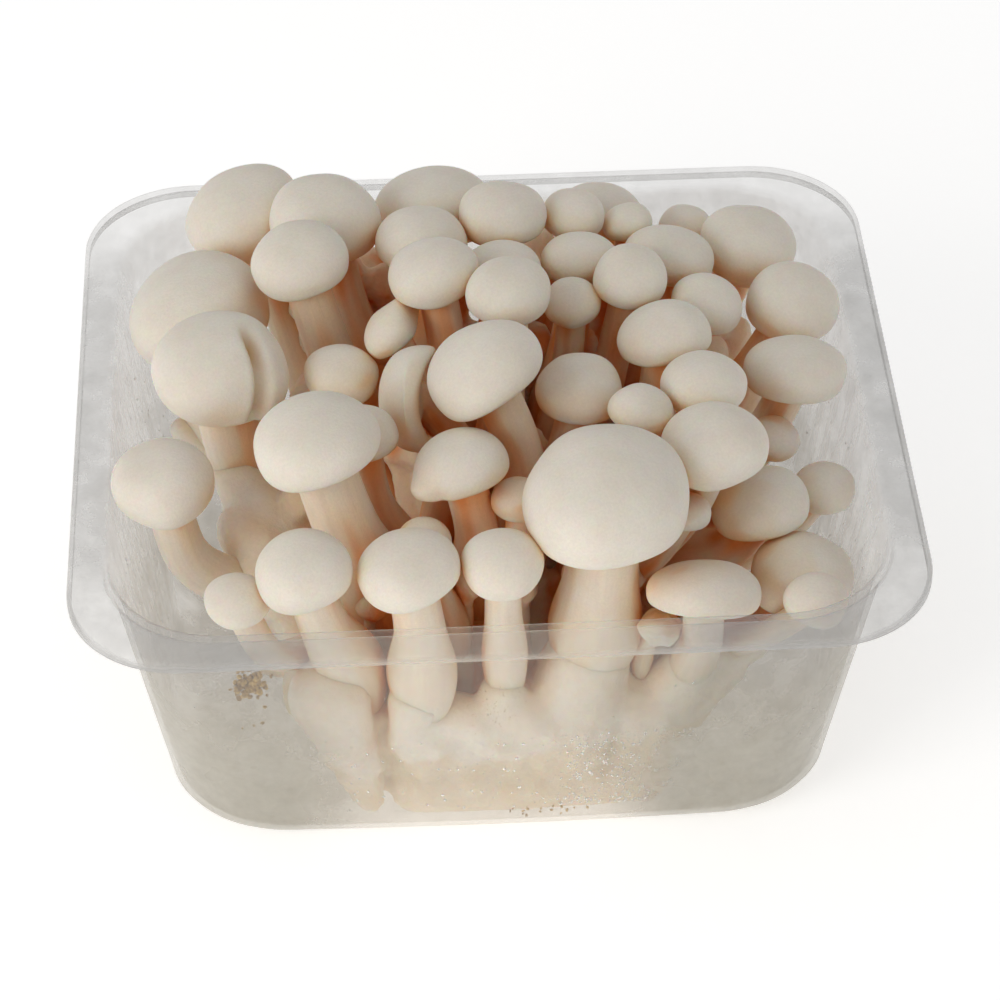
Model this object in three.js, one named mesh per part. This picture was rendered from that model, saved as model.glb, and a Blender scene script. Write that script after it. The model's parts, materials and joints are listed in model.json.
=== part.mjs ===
// White shimeji (beech mushroom) bunch, as it is sold: one clump of about fifty mushrooms, grown
// together on one base, standing in an open clear tray.
//
// Millimetres, +Z up. The origin is the middle of the tray's underside, X runs along the tray's long
// side and the rows with negative Y are the front ones.
import * as THREE from 'three';
import { mergeVertices } from 'three/addons/utils/BufferGeometryUtils.js';

// ---------------------------------------------------------------- finishes
const CLEAR_PLASTIC = { color: 0xe4e6e6, roughness: 0.12 };
const CUT_FLESH = { color: 0xdccbab, roughness: 0.8 };
const MUSHROOM_SKIN = { color: 0xe9e0d2, roughness: 0.55 };

// ---------------------------------------------------------------- driving dimensions: tray
const RIM_LENGTH = 150; // over the rim, along X
const RIM_DEPTH = 140; // over the rim, along Y
const TRAY_HEIGHT = 59;
const WALL = 0.8;
const FLANGE_WIDTH = 6.6; // flat rim round the mouth
const LIP_DROP = 1.8; // the flange's outer edge is turned down
const WALL_TAPER = 8.8; // how far a wall leans in from the mouth to the floor
const FLOOR_FILLET = 7; // radius where a wall runs into the floor
const CORNER_RADIUS = 20;
const SIDE_BOW = 0.9; // the long walls belly out by this much at the middle
const RIB_DEPTH = 0.6; // upright stiffening flutes in the two short walls
const RIBS_PER_WALL = 9;
const RIB_FOOT_FADE = 5; // height over which a flute dies out above the floor's fillet
const RIB_MOUTH_FADE = 6; // and below the flange
const FILLET_BOW = 0.5; // share of the walls' bow that is left half way round the fillet
const CORNER_STEPS = 7;
const LONG_WALL_STEPS = 6;

// ---------------------------------------------------------------- driving dimensions: base clump
const BASE_CENTRE_Y = -8;
const BASE_HALF_LENGTH = 40;
const BASE_HALF_DEPTH = 45;
const BASE_SQUARENESS = 2.5; // 2 is an ellipse, more is squarer
const BASE_SEGMENTS = 28;
const GAP = 0.3; // clearance kept between touching pieces
const WELD_DISTANCE = 1e-4; // vertices closer than this become one
// [share of the half length, height above the cut underside], from the underside to the crown
const BASE_PROFILE = [
  [0, 0],
  [0.86, 0],
  [0.96, 3],
  [1, 9],
  [0.97, 14],
  [0.88, 18],
  [0.65, 21],
  [0.35, 22.5],
  [0, 23],
];
const BASE_CROWN_FROM = 3; // the profile rows from this one on are the crown that stems stand on

// ---------------------------------------------------------------- driving dimensions: mushrooms
const SIDES = 9; // facets round a mushroom
const CAP_DOME = 0.66; // height of the dome above the widest level, in cap radii
const FOOT_LIFT = 0.9; // a foot's middle stands this much above the crown it grows from
const STEM_UPRIGHT = 0.4; // how long a stem keeps growing upwards before it leans out
const FOOT_DRIFT = 0.12; // how far a stem's first stretch already drifts towards its cap
const CAP_PULL = 0.35; // how early a stem turns to the direction of its cap
const STEM_TOP = -0.2; // where the stem meets the cap, in cap radii from the widest level
// A cap's underside, from the stem outwards: [share of the cap radius, height in cap radii].
const CAP_UNDERSIDE = [
  [0.62, -0.25],
  [0.88, -0.32],
  [0.98, -0.16],
  [1, 0],
];
const DOME_RINGS = [62, 36, 15]; // degrees from the dome's top
// A stem's rows, from the foot up: [share of its length, how far its diameter has gone from the
// belly's (0) to the top's (1), factor on that diameter].
const STEM_ROWS = [
  [0, 0, 0],
  [0.03, 0, 0.56],
  [0.12, 0, 0.84],
  [0.3, 0, 1.12],
  [0.66, 0.7, 1],
  [1, 1, 1],
];

// Each mushroom: the middle of its cap's widest level, the cap's diameter, the lean of the cap's axis
// (how far it tips along X and Y for each millimetre up), the stem's diameter under the cap and at its
// belly, and the place on the base where the stem starts. A stem that sweeps out sideways and then
// stands up has a bend: the two places it is drawn towards, the lower one first.
const MUSHROOMS = {
  // the row behind the front wall, left to right
  front_mushroom_1: {
    cap: [-45.5, -54, 58.5], wide: 11.5, lean: [0, -0.05],
    stem: [5.5, 5.2], foot: [-30.4, -30.6], bend: [[-34.2, -40, 39.5], [-44.3, -57.5, 40]],
  },
  front_mushroom_2: {
    cap: [-34, -54, 64.5], wide: 16.5, lean: [-0.08, -0.15],
    stem: [7.9, 11.3], foot: [-24.7, -42.4],
  },
  front_mushroom_3: {
    cap: [-16, -54, 64], wide: 17.5, lean: [-0.15, 0],
    stem: [8.5, 11.5], foot: [-14, -46],
  },
  front_mushroom_4: { cap: [0.2, -53, 63.5], wide: 14, lean: [0, -0.2], stem: [6.2, 7.4], foot: [1, -44] },
  biggest_mushroom: {
    cap: [18.5, -44, 70], wide: 29, lean: [-0.05, -0.1],
    stem: [12.4, 14.2], foot: [15.4, -37.4], bend: [[17.6, -41.5, 36], [18.3, -42.5, 52]],
  },
  torn_mushroom: {
    cap: [28.2, -47.2, 42.2], wide: 7.4, lean: [0.1, -0.2],
    stem: [3.2, 3.4], foot: [25.6, -39], bend: [[25.7, -39.2, 30], [26.6, -43, 37]],
  },
  open_mushroom: {
    cap: [35.5, -50, 52.3], wide: 20.5, lean: [0.05, 0.5],
    stem: [7.5, 7.8], foot: [32.4, -36.8], bend: [[36, -42.5, 32], [36.5, -49, 42]],
  },
  corner_mushroom: {
    cap: [54.8, -53, 52.4], wide: 11.4, lean: [0.1, -0.1],
    stem: [4.6, 5], foot: [35.8, -30.8], bend: [[43.2, -38.5, 38], [54, -56.5, 44]],
  },

  // second row
  second_row_1: {
    cap: [-58.5, -26, 62.3], wide: 18.5, lean: [-0.08, -0.08],
    stem: [8, 8.5], foot: [-33, -21.5], bend: [[-41.5, -24.5, 38.8], [-59.5, -28, 37]],
  },
  second_row_2: {
    cap: [-31, -33, 75.5], wide: 22.5, lean: [-0.12, 0.05],
    stem: [11, 12.5], foot: [-18.5, -31],
  },
  second_row_3: { cap: [-13, -42, 60], wide: 9.5, lean: [0, -0.2], stem: [5, 6.5], foot: [-7.5, -34.5] },
  second_row_4: { cap: [4.2, -32.5, 60.6], wide: 10, lean: [0, 0], stem: [4.5, 5.5], foot: [2.5, -31.5] },
  second_row_5: { cap: [33.5, -37.5, 60.5], wide: 8.5, lean: [0, 0], stem: [4, 4.5], foot: [15.1, -25.8] },
  second_row_6: { cap: [38.5, -31, 70], wide: 19, lean: [0, 0], stem: [7.5, 8], foot: [22, -22] },
  second_row_7: { cap: [54.3, -38.4, 45.3], wide: 18.8, lean: [0.1, 0], stem: [7.5, 9], foot: [35.9, -21.6] },
  second_row_8: {
    cap: [48, -26.5, 52.3], wide: 17.5, lean: [-0.15, 0.1],
    stem: [7, 8.5], foot: [29.5, -13.5],
  },
  second_row_9: { cap: [60.2, -20, 50], wide: 11.2, lean: [0, -0.2], stem: [5, 6.5], foot: [38, -14] },

  // the middle of the bunch
  middle_mushroom_1: {
    cap: [-22.6, -20.8, 67.5], wide: 12.4, lean: [0.2, 0],
    stem: [6.2, 7], foot: [-11.8, -20.5],
  },
  middle_mushroom_2: {
    cap: [-6, -30.5, 67], wide: 17.5, lean: [-0.25, 0.1],
    stem: [7.5, 9], foot: [-3, -24.5],
  },
  middle_mushroom_3: {
    cap: [-4.5, -18.5, 61], wide: 8, lean: [-0.1, -0.2],
    stem: [4, 5], foot: [-4, -14.5],
  },
  tipped_mushroom: {
    cap: [-1, -15.5, 76.5], wide: 21.5, lean: [-0.5, 0],
    stem: [8.5, 10], foot: [5.5, -17],
  },
  side_on_mushroom: {
    cap: [-13.8, -8, 64.5], wide: 18, lean: [-9, -1],
    stem: [6, 7.5], foot: [-10, -10],
  },
  leaf_mushroom: { cap: [-17, 8, 68.5], wide: 11.5, lean: [-0.6, -0.1], stem: [5, 6], foot: [-9, 1] },
  middle_mushroom_4: {
    cap: [-26.5, 2, 63], wide: 13.5, lean: [0.08, -0.1],
    stem: [6.5, 8], foot: [-18, -2],
  },
  middle_mushroom_5: {
    cap: [16.5, -8, 65.5], wide: 15.5, lean: [0.03, -0.15],
    stem: [7, 8.5], foot: [9.5, -7],
  },
  middle_mushroom_6: {
    cap: [26.5, -21.5, 70.8], wide: 11.5, lean: [0.2, -0.15],
    stem: [5.5, 6.5], foot: [14, -16],
  },
  middle_mushroom_7: {
    cap: [38.3, -13.5, 69.8], wide: 16, lean: [0, 0.2],
    stem: [7, 8.5], foot: [21.5, -12],
  },
  middle_mushroom_8: {
    cap: [52, -9.5, 53.5], wide: 9.5, lean: [0.1, -0.3],
    stem: [4.5, 6], foot: [31, -5],
  },
  middle_mushroom_9: { cap: [32.5, 2, 69.5], wide: 17, lean: [-0.2, 0.2], stem: [7, 9], foot: [19.5, -2] },
  middle_mushroom_10: {
    cap: [56.6, 0, 61.9], wide: 19, lean: [0.05, 0.2],
    stem: [7, 8.5], foot: [35.5, 4],
  },
  middle_mushroom_11: { cap: [4.5, 5.5, 78], wide: 15.5, lean: [0, -0.1], stem: [7, 8.5], foot: [1, -2.5] },
  middle_mushroom_12: { cap: [-9, 14, 76.5], wide: 16.5, lean: [-0.2, 0], stem: [7, 9], foot: [-6, 10] },
  middle_mushroom_13: {
    cap: [16.5, 13.5, 69], wide: 10.5, lean: [-0.1, -0.3],
    stem: [5.5, 6.5], foot: [11, 6.5],
  },
  middle_mushroom_14: { cap: [27.5, 16, 72.5], wide: 14, lean: [0.05, -0.2], stem: [6, 7], foot: [19, 12] },
  middle_mushroom_15: { cap: [41.5, 14, 67], wide: 13.5, lean: [0.1, -0.15], stem: [6, 8], foot: [26, 6] },

  // the left group, with the widest caps after the biggest one
  split_mushroom: {
    cap: [-48.5, -1.5, 68.2], wide: 24, lean: [0, -0.25],
    stem: [11.5, 11], foot: [-30.5, -8], bend: [[-42.5, -6, 36], [-46, -2, 40]],
  },
  left_mushroom_1: {
    cap: [-52.8, 23.7, 62.4], wide: 27, lean: [-0.2, 0],
    stem: [12.5, 12], foot: [-31, 7.5], bend: [[-43.5, 12, 42.5], [-58, 19.5, 43]],
  },
  left_mushroom_2: {
    cap: [-33.3, 20, 76], wide: 17.8, lean: [-0.1, -0.1],
    stem: [8, 9.5], foot: [-20, 11],
  },

  // the back rows, left to right
  back_mushroom_1: {
    cap: [-44, 49.3, 66], wide: 22.4, lean: [-0.25, -0.15],
    stem: [9, 10], foot: [-27, 19.5],
  },
  back_mushroom_2: {
    cap: [-28.6, 38, 72.2], wide: 20.8, lean: [0.05, -0.15],
    stem: [9, 9.5], foot: [-16, 22.5],
  },
  back_mushroom_3: { cap: [-7.5, 51, 64.4], wide: 23, lean: [0, 0.2], stem: [9, 11], foot: [-5, 29.5] },
  back_mushroom_4: { cap: [-10.5, 30, 72], wide: 17, lean: [0.1, 0], stem: [7, 9], foot: [-8, 20] },
  back_mushroom_5: { cap: [5, 37, 72.5], wide: 17, lean: [0.07, 0.1], stem: [7, 9], foot: [3, 22] },
  back_mushroom_6: { cap: [4, 21.5, 71], wide: 14.5, lean: [0, 0], stem: [6, 8], foot: [3, 12] },
  back_mushroom_7: { cap: [18.5, 40.5, 69.5], wide: 12, lean: [0, -0.1], stem: [5.5, 7], foot: [10, 26] },
  back_mushroom_8: { cap: [24.5, 52, 61], wide: 16, lean: [0, 0], stem: [6.5, 8], foot: [14, 32] },
  back_mushroom_9: { cap: [19, 27, 68.5], wide: 15, lean: [0.05, 0.2], stem: [6.5, 8], foot: [11, 16] },
  back_mushroom_10: { cap: [29, 41, 66.8], wide: 9.5, lean: [-0.2, 0], stem: [4.5, 6], foot: [18.5, 22] },
  back_mushroom_11: { cap: [36, 29.5, 66.5], wide: 17, lean: [0.15, 0.2], stem: [7, 8], foot: [25, 16] },
  back_mushroom_12: { cap: [41, 49, 59.6], wide: 10.5, lean: [0, 0], stem: [5, 6.5], foot: [23, 29] },
  back_mushroom_13: {
    cap: [52, 38, 62.5], wide: 18.5, lean: [0.2, -0.15],
    stem: [7.5, 9.5], foot: [30, 22.5],
  },
  back_mushroom_14: {
    cap: [58.5, 20, 62], wide: 18, lean: [0.15, -0.15],
    stem: [7.5, 9.5], foot: [34, 12],
  },
};

// Caps rounder or flatter than CAP_DOME.
const OWN_DOMES = {
  front_mushroom_2: 0.74,
  front_mushroom_4: 0.76,
  biggest_mushroom: 0.74,
  open_mushroom: 0.55,
  middle_mushroom_7: 0.68,
  middle_mushroom_10: 0.55,
};

// ---------------------------------------------------------------- helpers
function namedMesh(name, geometry, finish) {
  const material = new THREE.MeshStandardMaterial({ ...finish, metalness: 0 });
  const mesh = new THREE.Mesh(closed(geometry), material);
  mesh.name = name;
  return mesh;
}

// Welds a turned shape: the seam and the two poles become single vertices.
function closed(geometry) {
  geometry.deleteAttribute('normal');
  geometry.deleteAttribute('uv');
  const welded = mergeVertices(geometry, WELD_DISTANCE);
  const corners = welded.index.array;
  const kept = [];
  for (let i = 0; i < corners.length; i += 3) {
    const [a, b, c] = [corners[i], corners[i + 1], corners[i + 2]];
    if (a !== b && b !== c && c !== a) {
      kept.push(a, b, c);
    }
  }
  welded.setIndex(kept);
  welded.computeVertexNormals();
  return welded;
}

// Turns a profile of [radius, height] rows, then puts the vertex of row j at turn i where place says.
function turned(profile, segments, place) {
  const points = profile.map(([radius, height]) => new THREE.Vector2(radius, height));
  const geometry = new THREE.LatheGeometry(points, segments);
  const position = geometry.attributes.position;
  for (let k = 0; k < position.count; k += 1) {
    const row = k % profile.length;
    const turn = Math.floor(k / profile.length) % segments;
    const spot = place(row, turn);
    position.setXYZ(k, spot.x, spot.y, spot.z);
  }
  return geometry;
}

// ---------------------------------------------------------------- tray
// One outline step: the corner it belongs to, its direction, and how far along a wall it lies.
function traySteps() {
  const steps = [];
  const ribSteps = 2 * RIBS_PER_WALL + 1;
  for (let corner = 0; corner < 4; corner += 1) {
    for (let i = 0; i <= CORNER_STEPS; i += 1) {
      steps.push({ corner, angle: ((corner + i / CORNER_STEPS) * Math.PI) / 2, along: 0, rib: 0 });
    }
    const long = corner % 2 === 0;
    const count = long ? LONG_WALL_STEPS : ribSteps;
    for (let i = 1; i < count; i += 1) {
      const rib = long || i % 2 === 0 ? 0 : 1;
      steps.push({ corner, angle: ((corner + 1) * Math.PI) / 2, along: i / count, rib });
    }
  }
  return steps;
}

// The point of an outline that lies `inset` inside the rim, at height z.
function trayPoint(step, inset, z, bow, rib) {
  const halfX = RIM_LENGTH / 2 - inset - CORNER_RADIUS;
  const halfY = RIM_DEPTH / 2 - inset - CORNER_RADIUS;
  const corners = [[halfX, halfY], [-halfX, halfY], [-halfX, -halfY], [halfX, -halfY]];
  const [fromX, fromY] = corners[step.corner];
  const [toX, toY] = corners[(step.corner + 1) % 4];
  const outX = Math.cos(step.angle);
  const outY = Math.sin(step.angle);
  const push = CORNER_RADIUS + bow * Math.sin(step.along * Math.PI) - rib * step.rib;
  return new THREE.Vector3(
    fromX + (toX - fromX) * step.along + outX * push,
    fromY + (toY - fromY) * step.along + outY * push,
    z,
  );
}

// The tray's wall section from the middle of its underside round the flange to the middle of its
// floor: [inset from the rim, height, share of the bow, share of the rib depth].
function traySection() {
  const mouth = FLANGE_WIDTH;
  const foot = FLANGE_WIDTH + WALL_TAPER;
  const at = (z) => foot - (WALL_TAPER * z) / TRAY_HEIGHT;
  const fillet = (side, z) => {
    const rise = side * (1 - Math.SQRT1_2);
    return [at(rise) + rise, z + rise, FILLET_BOW, 0];
  };
  const under = TRAY_HEIGHT - WALL;
  return [
    [foot + FLOOR_FILLET, 0, 0, 0],
    fillet(FLOOR_FILLET, 0),
    [at(FLOOR_FILLET), FLOOR_FILLET, 1, 0],
    [at(FLOOR_FILLET + RIB_FOOT_FADE), FLOOR_FILLET + RIB_FOOT_FADE, 1, 1],
    [at(under - RIB_MOUTH_FADE), under - RIB_MOUTH_FADE, 1, 1],
    [mouth, under, 0, 0],
    [WALL, under, 0, 0],
    [WALL, under - LIP_DROP, 0, 0],
    [0, under - LIP_DROP, 0, 0],
    [0, TRAY_HEIGHT - WALL / 2, 0, 0],
    [WALL / 2, TRAY_HEIGHT, 0, 0],
    [mouth + WALL, TRAY_HEIGHT, 0, 0],
    [at(under - RIB_MOUTH_FADE) + WALL, under - RIB_MOUTH_FADE, 1, 1],
    [at(FLOOR_FILLET + RIB_FOOT_FADE) + WALL, FLOOR_FILLET + RIB_FOOT_FADE, 1, 1],
    [at(FLOOR_FILLET) + WALL, FLOOR_FILLET, 1, 0],
    fillet(FLOOR_FILLET - WALL, WALL).map((value, i) => (i === 0 ? value + WALL : value)),
    [foot + FLOOR_FILLET, WALL, 0, 0],
  ];
}

function tray() {
  const steps = traySteps();
  const section = traySection();
  const rows = [[0, 0], ...section.map(([inset, z]) => [RIM_DEPTH / 2 - inset, z]), [0, WALL]];
  const last = rows.length - 1;
  return turned(rows, steps.length, (row, turn) => {
    if (row === 0 || row === last) {
      return new THREE.Vector3(0, 0, rows[row][1]);
    }
    const [inset, z, bow, rib] = section[row - 1];
    return trayPoint(steps[turn], inset, z, bow * SIDE_BOW, rib * RIB_DEPTH);
  });
}

// ---------------------------------------------------------------- base clump
// Distance of a place from the middle of the base, as a share of the base's outline.
function baseShare(x, y) {
  const along = Math.abs(x / BASE_HALF_LENGTH) ** BASE_SQUARENESS;
  const across = Math.abs((y - BASE_CENTRE_Y) / BASE_HALF_DEPTH) ** BASE_SQUARENESS;
  return (along + across) ** (1 / BASE_SQUARENESS);
}

// Height of the crown over a place.
function crownHeight(x, y) {
  const share = baseShare(x, y);
  for (let i = BASE_CROWN_FROM; i < BASE_PROFILE.length - 1; i += 1) {
    const [outer, low] = BASE_PROFILE[i];
    const [inner, high] = BASE_PROFILE[i + 1];
    if (share >= inner) {
      const part = Math.min(1, (outer - share) / (outer - inner));
      return WALL + GAP + low + (high - low) * Math.max(0, part);
    }
  }
  return WALL + GAP + BASE_PROFILE.at(-1)[1];
}

function baseClump() {
  return turned(BASE_PROFILE, BASE_SEGMENTS, (row, turn) => {
    const [share, height] = BASE_PROFILE[row];
    const angle = (turn / BASE_SEGMENTS) * 2 * Math.PI;
    const way = new THREE.Vector2(Math.cos(angle), Math.sin(angle));
    const reach = share / (baseShare(way.x, way.y + BASE_CENTRE_Y) || 1);
    return new THREE.Vector3(way.x * reach, BASE_CENTRE_Y + way.y * reach, WALL + GAP + height);
  });
}

// ---------------------------------------------------------------- mushrooms
// The whole cap's rows, from the stem over the margin to the top of the dome.
function capRows(dome) {
  const domeRows = DOME_RINGS.map((degrees) => {
    const angle = THREE.MathUtils.degToRad(degrees);
    return [Math.sin(angle), dome * Math.cos(angle)];
  });
  return [...CAP_UNDERSIDE, ...domeRows, [0, dome]];
}

// A stem's middle line from its root to the cap. It grows upwards first and ends along the cap's axis,
// unless the mushroom names the two places that its stem is drawn towards.
function stemLine(root, top, axis, bend) {
  const reach = top.distanceTo(root);
  const [low, high] = bend
    ? bend.map((place) => new THREE.Vector3(...place))
    : [
        root.clone().add(new THREE.Vector3(0, 0, reach * STEM_UPRIGHT)).lerp(top, FOOT_DRIFT),
        top.clone().addScaledVector(axis, -reach * CAP_PULL),
      ];
  return new THREE.CubicBezierCurve3(root, low, high, top);
}

function mushroom({ cap, wide, lean, stem, foot, bend }, dome) {
  const radius = wide / 2;
  const axis = new THREE.Vector3(lean[0], lean[1], 1).normalize();
  const middle = new THREE.Vector3(...cap);
  const top = middle.clone().addScaledVector(axis, STEM_TOP * radius);
  const root = new THREE.Vector3(foot[0], foot[1], crownHeight(foot[0], foot[1]) + FOOT_LIFT);
  const spine = stemLine(root, top, axis, bend);
  const rows = STEM_ROWS.map(([share, mix, scale]) => {
    const diameter = stem[1] + (stem[0] - stem[1]) * mix;
    const at = spine.getPointAt(share);
    const along = spine.getTangentAt(share);
    return { at, along, radius: (diameter / 2) * scale };
  });
  for (const [share, height] of capRows(dome)) {
    const at = middle.clone().addScaledVector(axis, height * radius);
    rows.push({ at, along: axis, radius: share * radius });
  }
  const profile = rows.map((row, i) => [row.radius, i]);
  return turned(profile, SIDES, (i, turn) => {
    const { at, along, radius: ring } = rows[i];
    const right = new THREE.Vector3(0, 1, 0).cross(along).normalize();
    const back = along.clone().cross(right);
    const angle = (turn / SIDES) * 2 * Math.PI;
    const spot = at.clone().addScaledVector(right, ring * Math.cos(angle));
    return spot.addScaledVector(back, ring * Math.sin(angle));
  });
}

// ---------------------------------------------------------------- the part
const bunch = new THREE.Group();
bunch.name = 'white_shimeji_bunch';
bunch.add(namedMesh('tray', tray(), CLEAR_PLASTIC));
bunch.add(namedMesh('base_clump', baseClump(), CUT_FLESH));
for (const [name, sizes] of Object.entries(MUSHROOMS)) {
  bunch.add(namedMesh(name, mushroom(sizes, OWN_DOMES[name] ?? CAP_DOME), MUSHROOM_SKIN));
}

export default bunch;
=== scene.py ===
"""Looks of a white shimeji bunch in its clear tray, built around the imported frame.

Every mushroom is rebuilt as one smooth grown body on the spine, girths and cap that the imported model
gives it. The base is grown from the stems' feet into one fused clump. The tray is drawn again as a
thin formed sheet with flutes, and it carries a mist of droplets and some crumbs of growing medium.

Lengths are in metres, +Z is up, and places come from the frame.
"""
import json
import logging
import math
from dataclasses import dataclass, field
from enum import Enum

import bpy
import numpy as np
from mathutils import Matrix, Vector
from mathutils.bvhtree import BVHTree


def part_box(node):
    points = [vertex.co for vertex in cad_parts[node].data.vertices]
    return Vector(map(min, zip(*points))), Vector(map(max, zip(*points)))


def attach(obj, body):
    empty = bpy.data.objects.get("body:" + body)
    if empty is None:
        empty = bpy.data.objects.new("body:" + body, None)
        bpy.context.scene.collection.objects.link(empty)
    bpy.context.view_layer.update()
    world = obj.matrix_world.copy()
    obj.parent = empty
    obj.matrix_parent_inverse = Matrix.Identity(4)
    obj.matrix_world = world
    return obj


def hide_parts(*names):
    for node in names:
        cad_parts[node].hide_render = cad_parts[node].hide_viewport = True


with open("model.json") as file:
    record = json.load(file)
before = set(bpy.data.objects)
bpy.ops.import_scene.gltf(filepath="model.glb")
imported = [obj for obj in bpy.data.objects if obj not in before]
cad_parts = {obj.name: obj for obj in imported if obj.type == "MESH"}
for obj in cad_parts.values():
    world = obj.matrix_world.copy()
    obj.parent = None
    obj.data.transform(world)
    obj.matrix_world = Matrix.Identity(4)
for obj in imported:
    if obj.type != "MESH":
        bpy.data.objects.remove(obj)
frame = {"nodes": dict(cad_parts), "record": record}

LOG = logging.getLogger("shimeji")
MM = 0.001
BODY = "root"

Array = np.ndarray
Face = tuple[int, ...]
Place = tuple[float, float, float]
Colour = tuple[float, float, float, float]
Socket = bpy.types.NodeSocket
Body = tuple[Array, list[Face]]

ALONG_X = np.array([1.0, 0.0, 0.0])
ALONG_Y = np.array([0.0, 1.0, 0.0])


# ------------------------------------------------------------------------------------------ helpers
def smoothstep(value: Array, low: float, high: float) -> Array:
    """Rises smoothly from 0 at low to 1 at high.

    Args:
        value: what is measured.
        low: where the rise starts.
        high: where it ends; it may be below low, and then the result falls.

    Returns:
        The share, from 0 to 1.
    """
    t = np.clip((value - low) / (high - low), 0.0, 1.0)
    return t * t * (3.0 - 2.0 * t)


def bump_at(value: Array, centre: float, width: float) -> Array:
    """A soft round bump of height 1, centred on a value and of a given half width."""
    return np.exp(-(((value - centre) / width) ** 2))


def lumps(points: Array, seed: int, wavelength: float, waves: int = 9) -> Array:
    """A soft random field, the sum of a few waves in random directions.

    Args:
        points: places, one row each.
        seed: which field.
        wavelength: the usual distance between lumps, in the unit of the places.
        waves: how many waves are added.

    Returns:
        One number for each place, mostly from -1 to 1.
    """
    draw = np.random.default_rng(seed)
    total = np.zeros(len(points))
    for _ in range(waves):
        way = draw.normal(size=3)
        way *= 2 * math.pi / (wavelength * np.linalg.norm(way)) * draw.uniform(0.6, 1.5)
        total += np.sin(points @ way + draw.uniform(0, 2 * math.pi))
    return total / math.sqrt(waves)


def unit(vector: Array) -> Array:
    """The vector at length 1."""
    return vector / np.linalg.norm(vector)


def unit_rows(rows: Array) -> Array:
    """Each row at length 1."""
    return rows / np.linalg.norm(rows, axis=1)[:, None]


def across(axes: Array, helper: Array = ALONG_Y) -> tuple[Array, Array]:
    """Two directions across each axis.

    Args:
        axes: unit vectors, one row each.
        helper: a direction that lies along none of them.

    Returns:
        The directions to the right and to the back.
    """
    right = unit_rows(np.cross(helper, axes))
    return right, np.cross(axes, right)


def ring_points(centres: Array, ways: tuple[Array, Array], reach: Array, turn: Array) -> Array:
    """Rings of points round a line.

    Args:
        centres: the middle of each ring.
        ways: each ring's directions to the right and to the back.
        reach: the radii, a row for each ring.
        turn: angles round a ring.

    Returns:
        The points, rings by angles.
    """
    right, back = ways
    return (
        centres[:, None, :]
        + right[:, None, :] * (reach * np.cos(turn))[:, :, None]
        + back[:, None, :] * (reach * np.sin(turn))[:, :, None]
    )


def curve_through(knots: Array, values: Array, places: Array) -> Array:
    """A smooth curve through values, one for each knot.

    Args:
        knots: rising parameters.
        values: a number or a row of numbers for each knot.
        places: the parameters that are asked for.

    Returns:
        The curve's values there.
    """
    values = np.asarray(values, float)
    flat = values.ndim == 1
    rows = values[:, None] if flat else values
    slopes = np.gradient(rows, knots, axis=0)
    span = np.clip(np.searchsorted(knots, places, side="right") - 1, 0, len(knots) - 2)
    step = (knots[span + 1] - knots[span])[:, None]
    t = ((places - knots[span]) / (knots[span + 1] - knots[span]))[:, None]
    a, b = rows[span], rows[span + 1]
    da, db = slopes[span] * step, slopes[span + 1] * step
    out = (
        a * (2 * t**3 - 3 * t**2 + 1)
        + da * (t**3 - 2 * t**2 + t)
        + b * (-2 * t**3 + 3 * t**2)
        + db * (t**3 - t**2)
    )
    return out[:, 0] if flat else out


def ring_faces(rows: int, around: int) -> list[Face]:
    """Faces of a closed turned body: a pole, rows of points round it, and a pole.

    Args:
        rows: how many rows lie between the poles.
        around: points in each row.

    Returns:
        Faces over the vertex order first pole, rows, last pole.
    """
    faces: list[Face] = []
    last = 1 + rows * around
    for k in range(around):
        n = (k + 1) % around
        faces.append((0, 1 + n, 1 + k))
        for r in range(rows - 1):
            low, high = 1 + r * around, 1 + (r + 1) * around
            faces.append((low + k, low + n, high + n, high + k))
        top = 1 + (rows - 1) * around
        faces.append((top + k, top + n, last))
    return faces


def new_piece(name: str, points: Array, faces: list[Face]) -> bpy.types.Object:
    """Makes a smooth-shaded mesh object in the scene.

    Args:
        name: the piece's name.
        points: vertex places.
        faces: vertex numbers of each face.

    Returns:
        The object.
    """
    mesh = bpy.data.meshes.new(name)
    mesh.from_pydata([tuple(p) for p in points], [], faces)
    mesh.validate()
    mesh.polygons.foreach_set("use_smooth", [True] * len(mesh.polygons))
    mesh.update()
    piece = bpy.data.objects.new(name, mesh)
    bpy.context.scene.collection.objects.link(piece)
    return piece


def store(piece: bpy.types.Object, name: str, values: Array) -> None:
    """Stores a number or a vector for each vertex.

    Args:
        piece: the mesh object.
        name: the attribute's name.
        values: a number or a row of three for each vertex, in vertex order.
    """
    values = np.asarray(values, np.float32)
    kind, key = ("FLOAT", "value") if values.ndim == 1 else ("FLOAT_VECTOR", "vector")
    attribute = piece.data.attributes.new(name, kind, "POINT")
    attribute.data.foreach_set(key, values.ravel())


@dataclass
class Heap:
    """Closed bodies gathered for one mesh."""

    points: list = field(default_factory=list)
    faces: list[Face] = field(default_factory=list)

    def add(self, points: list, faces: list[Face]) -> None:
        """Adds one body.

        Args:
            points: its points.
            faces: its faces, numbered over its own points.
        """
        first = len(self.points)
        self.points += list(points)
        self.faces += [tuple(v + first for v in face) for face in faces]


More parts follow.
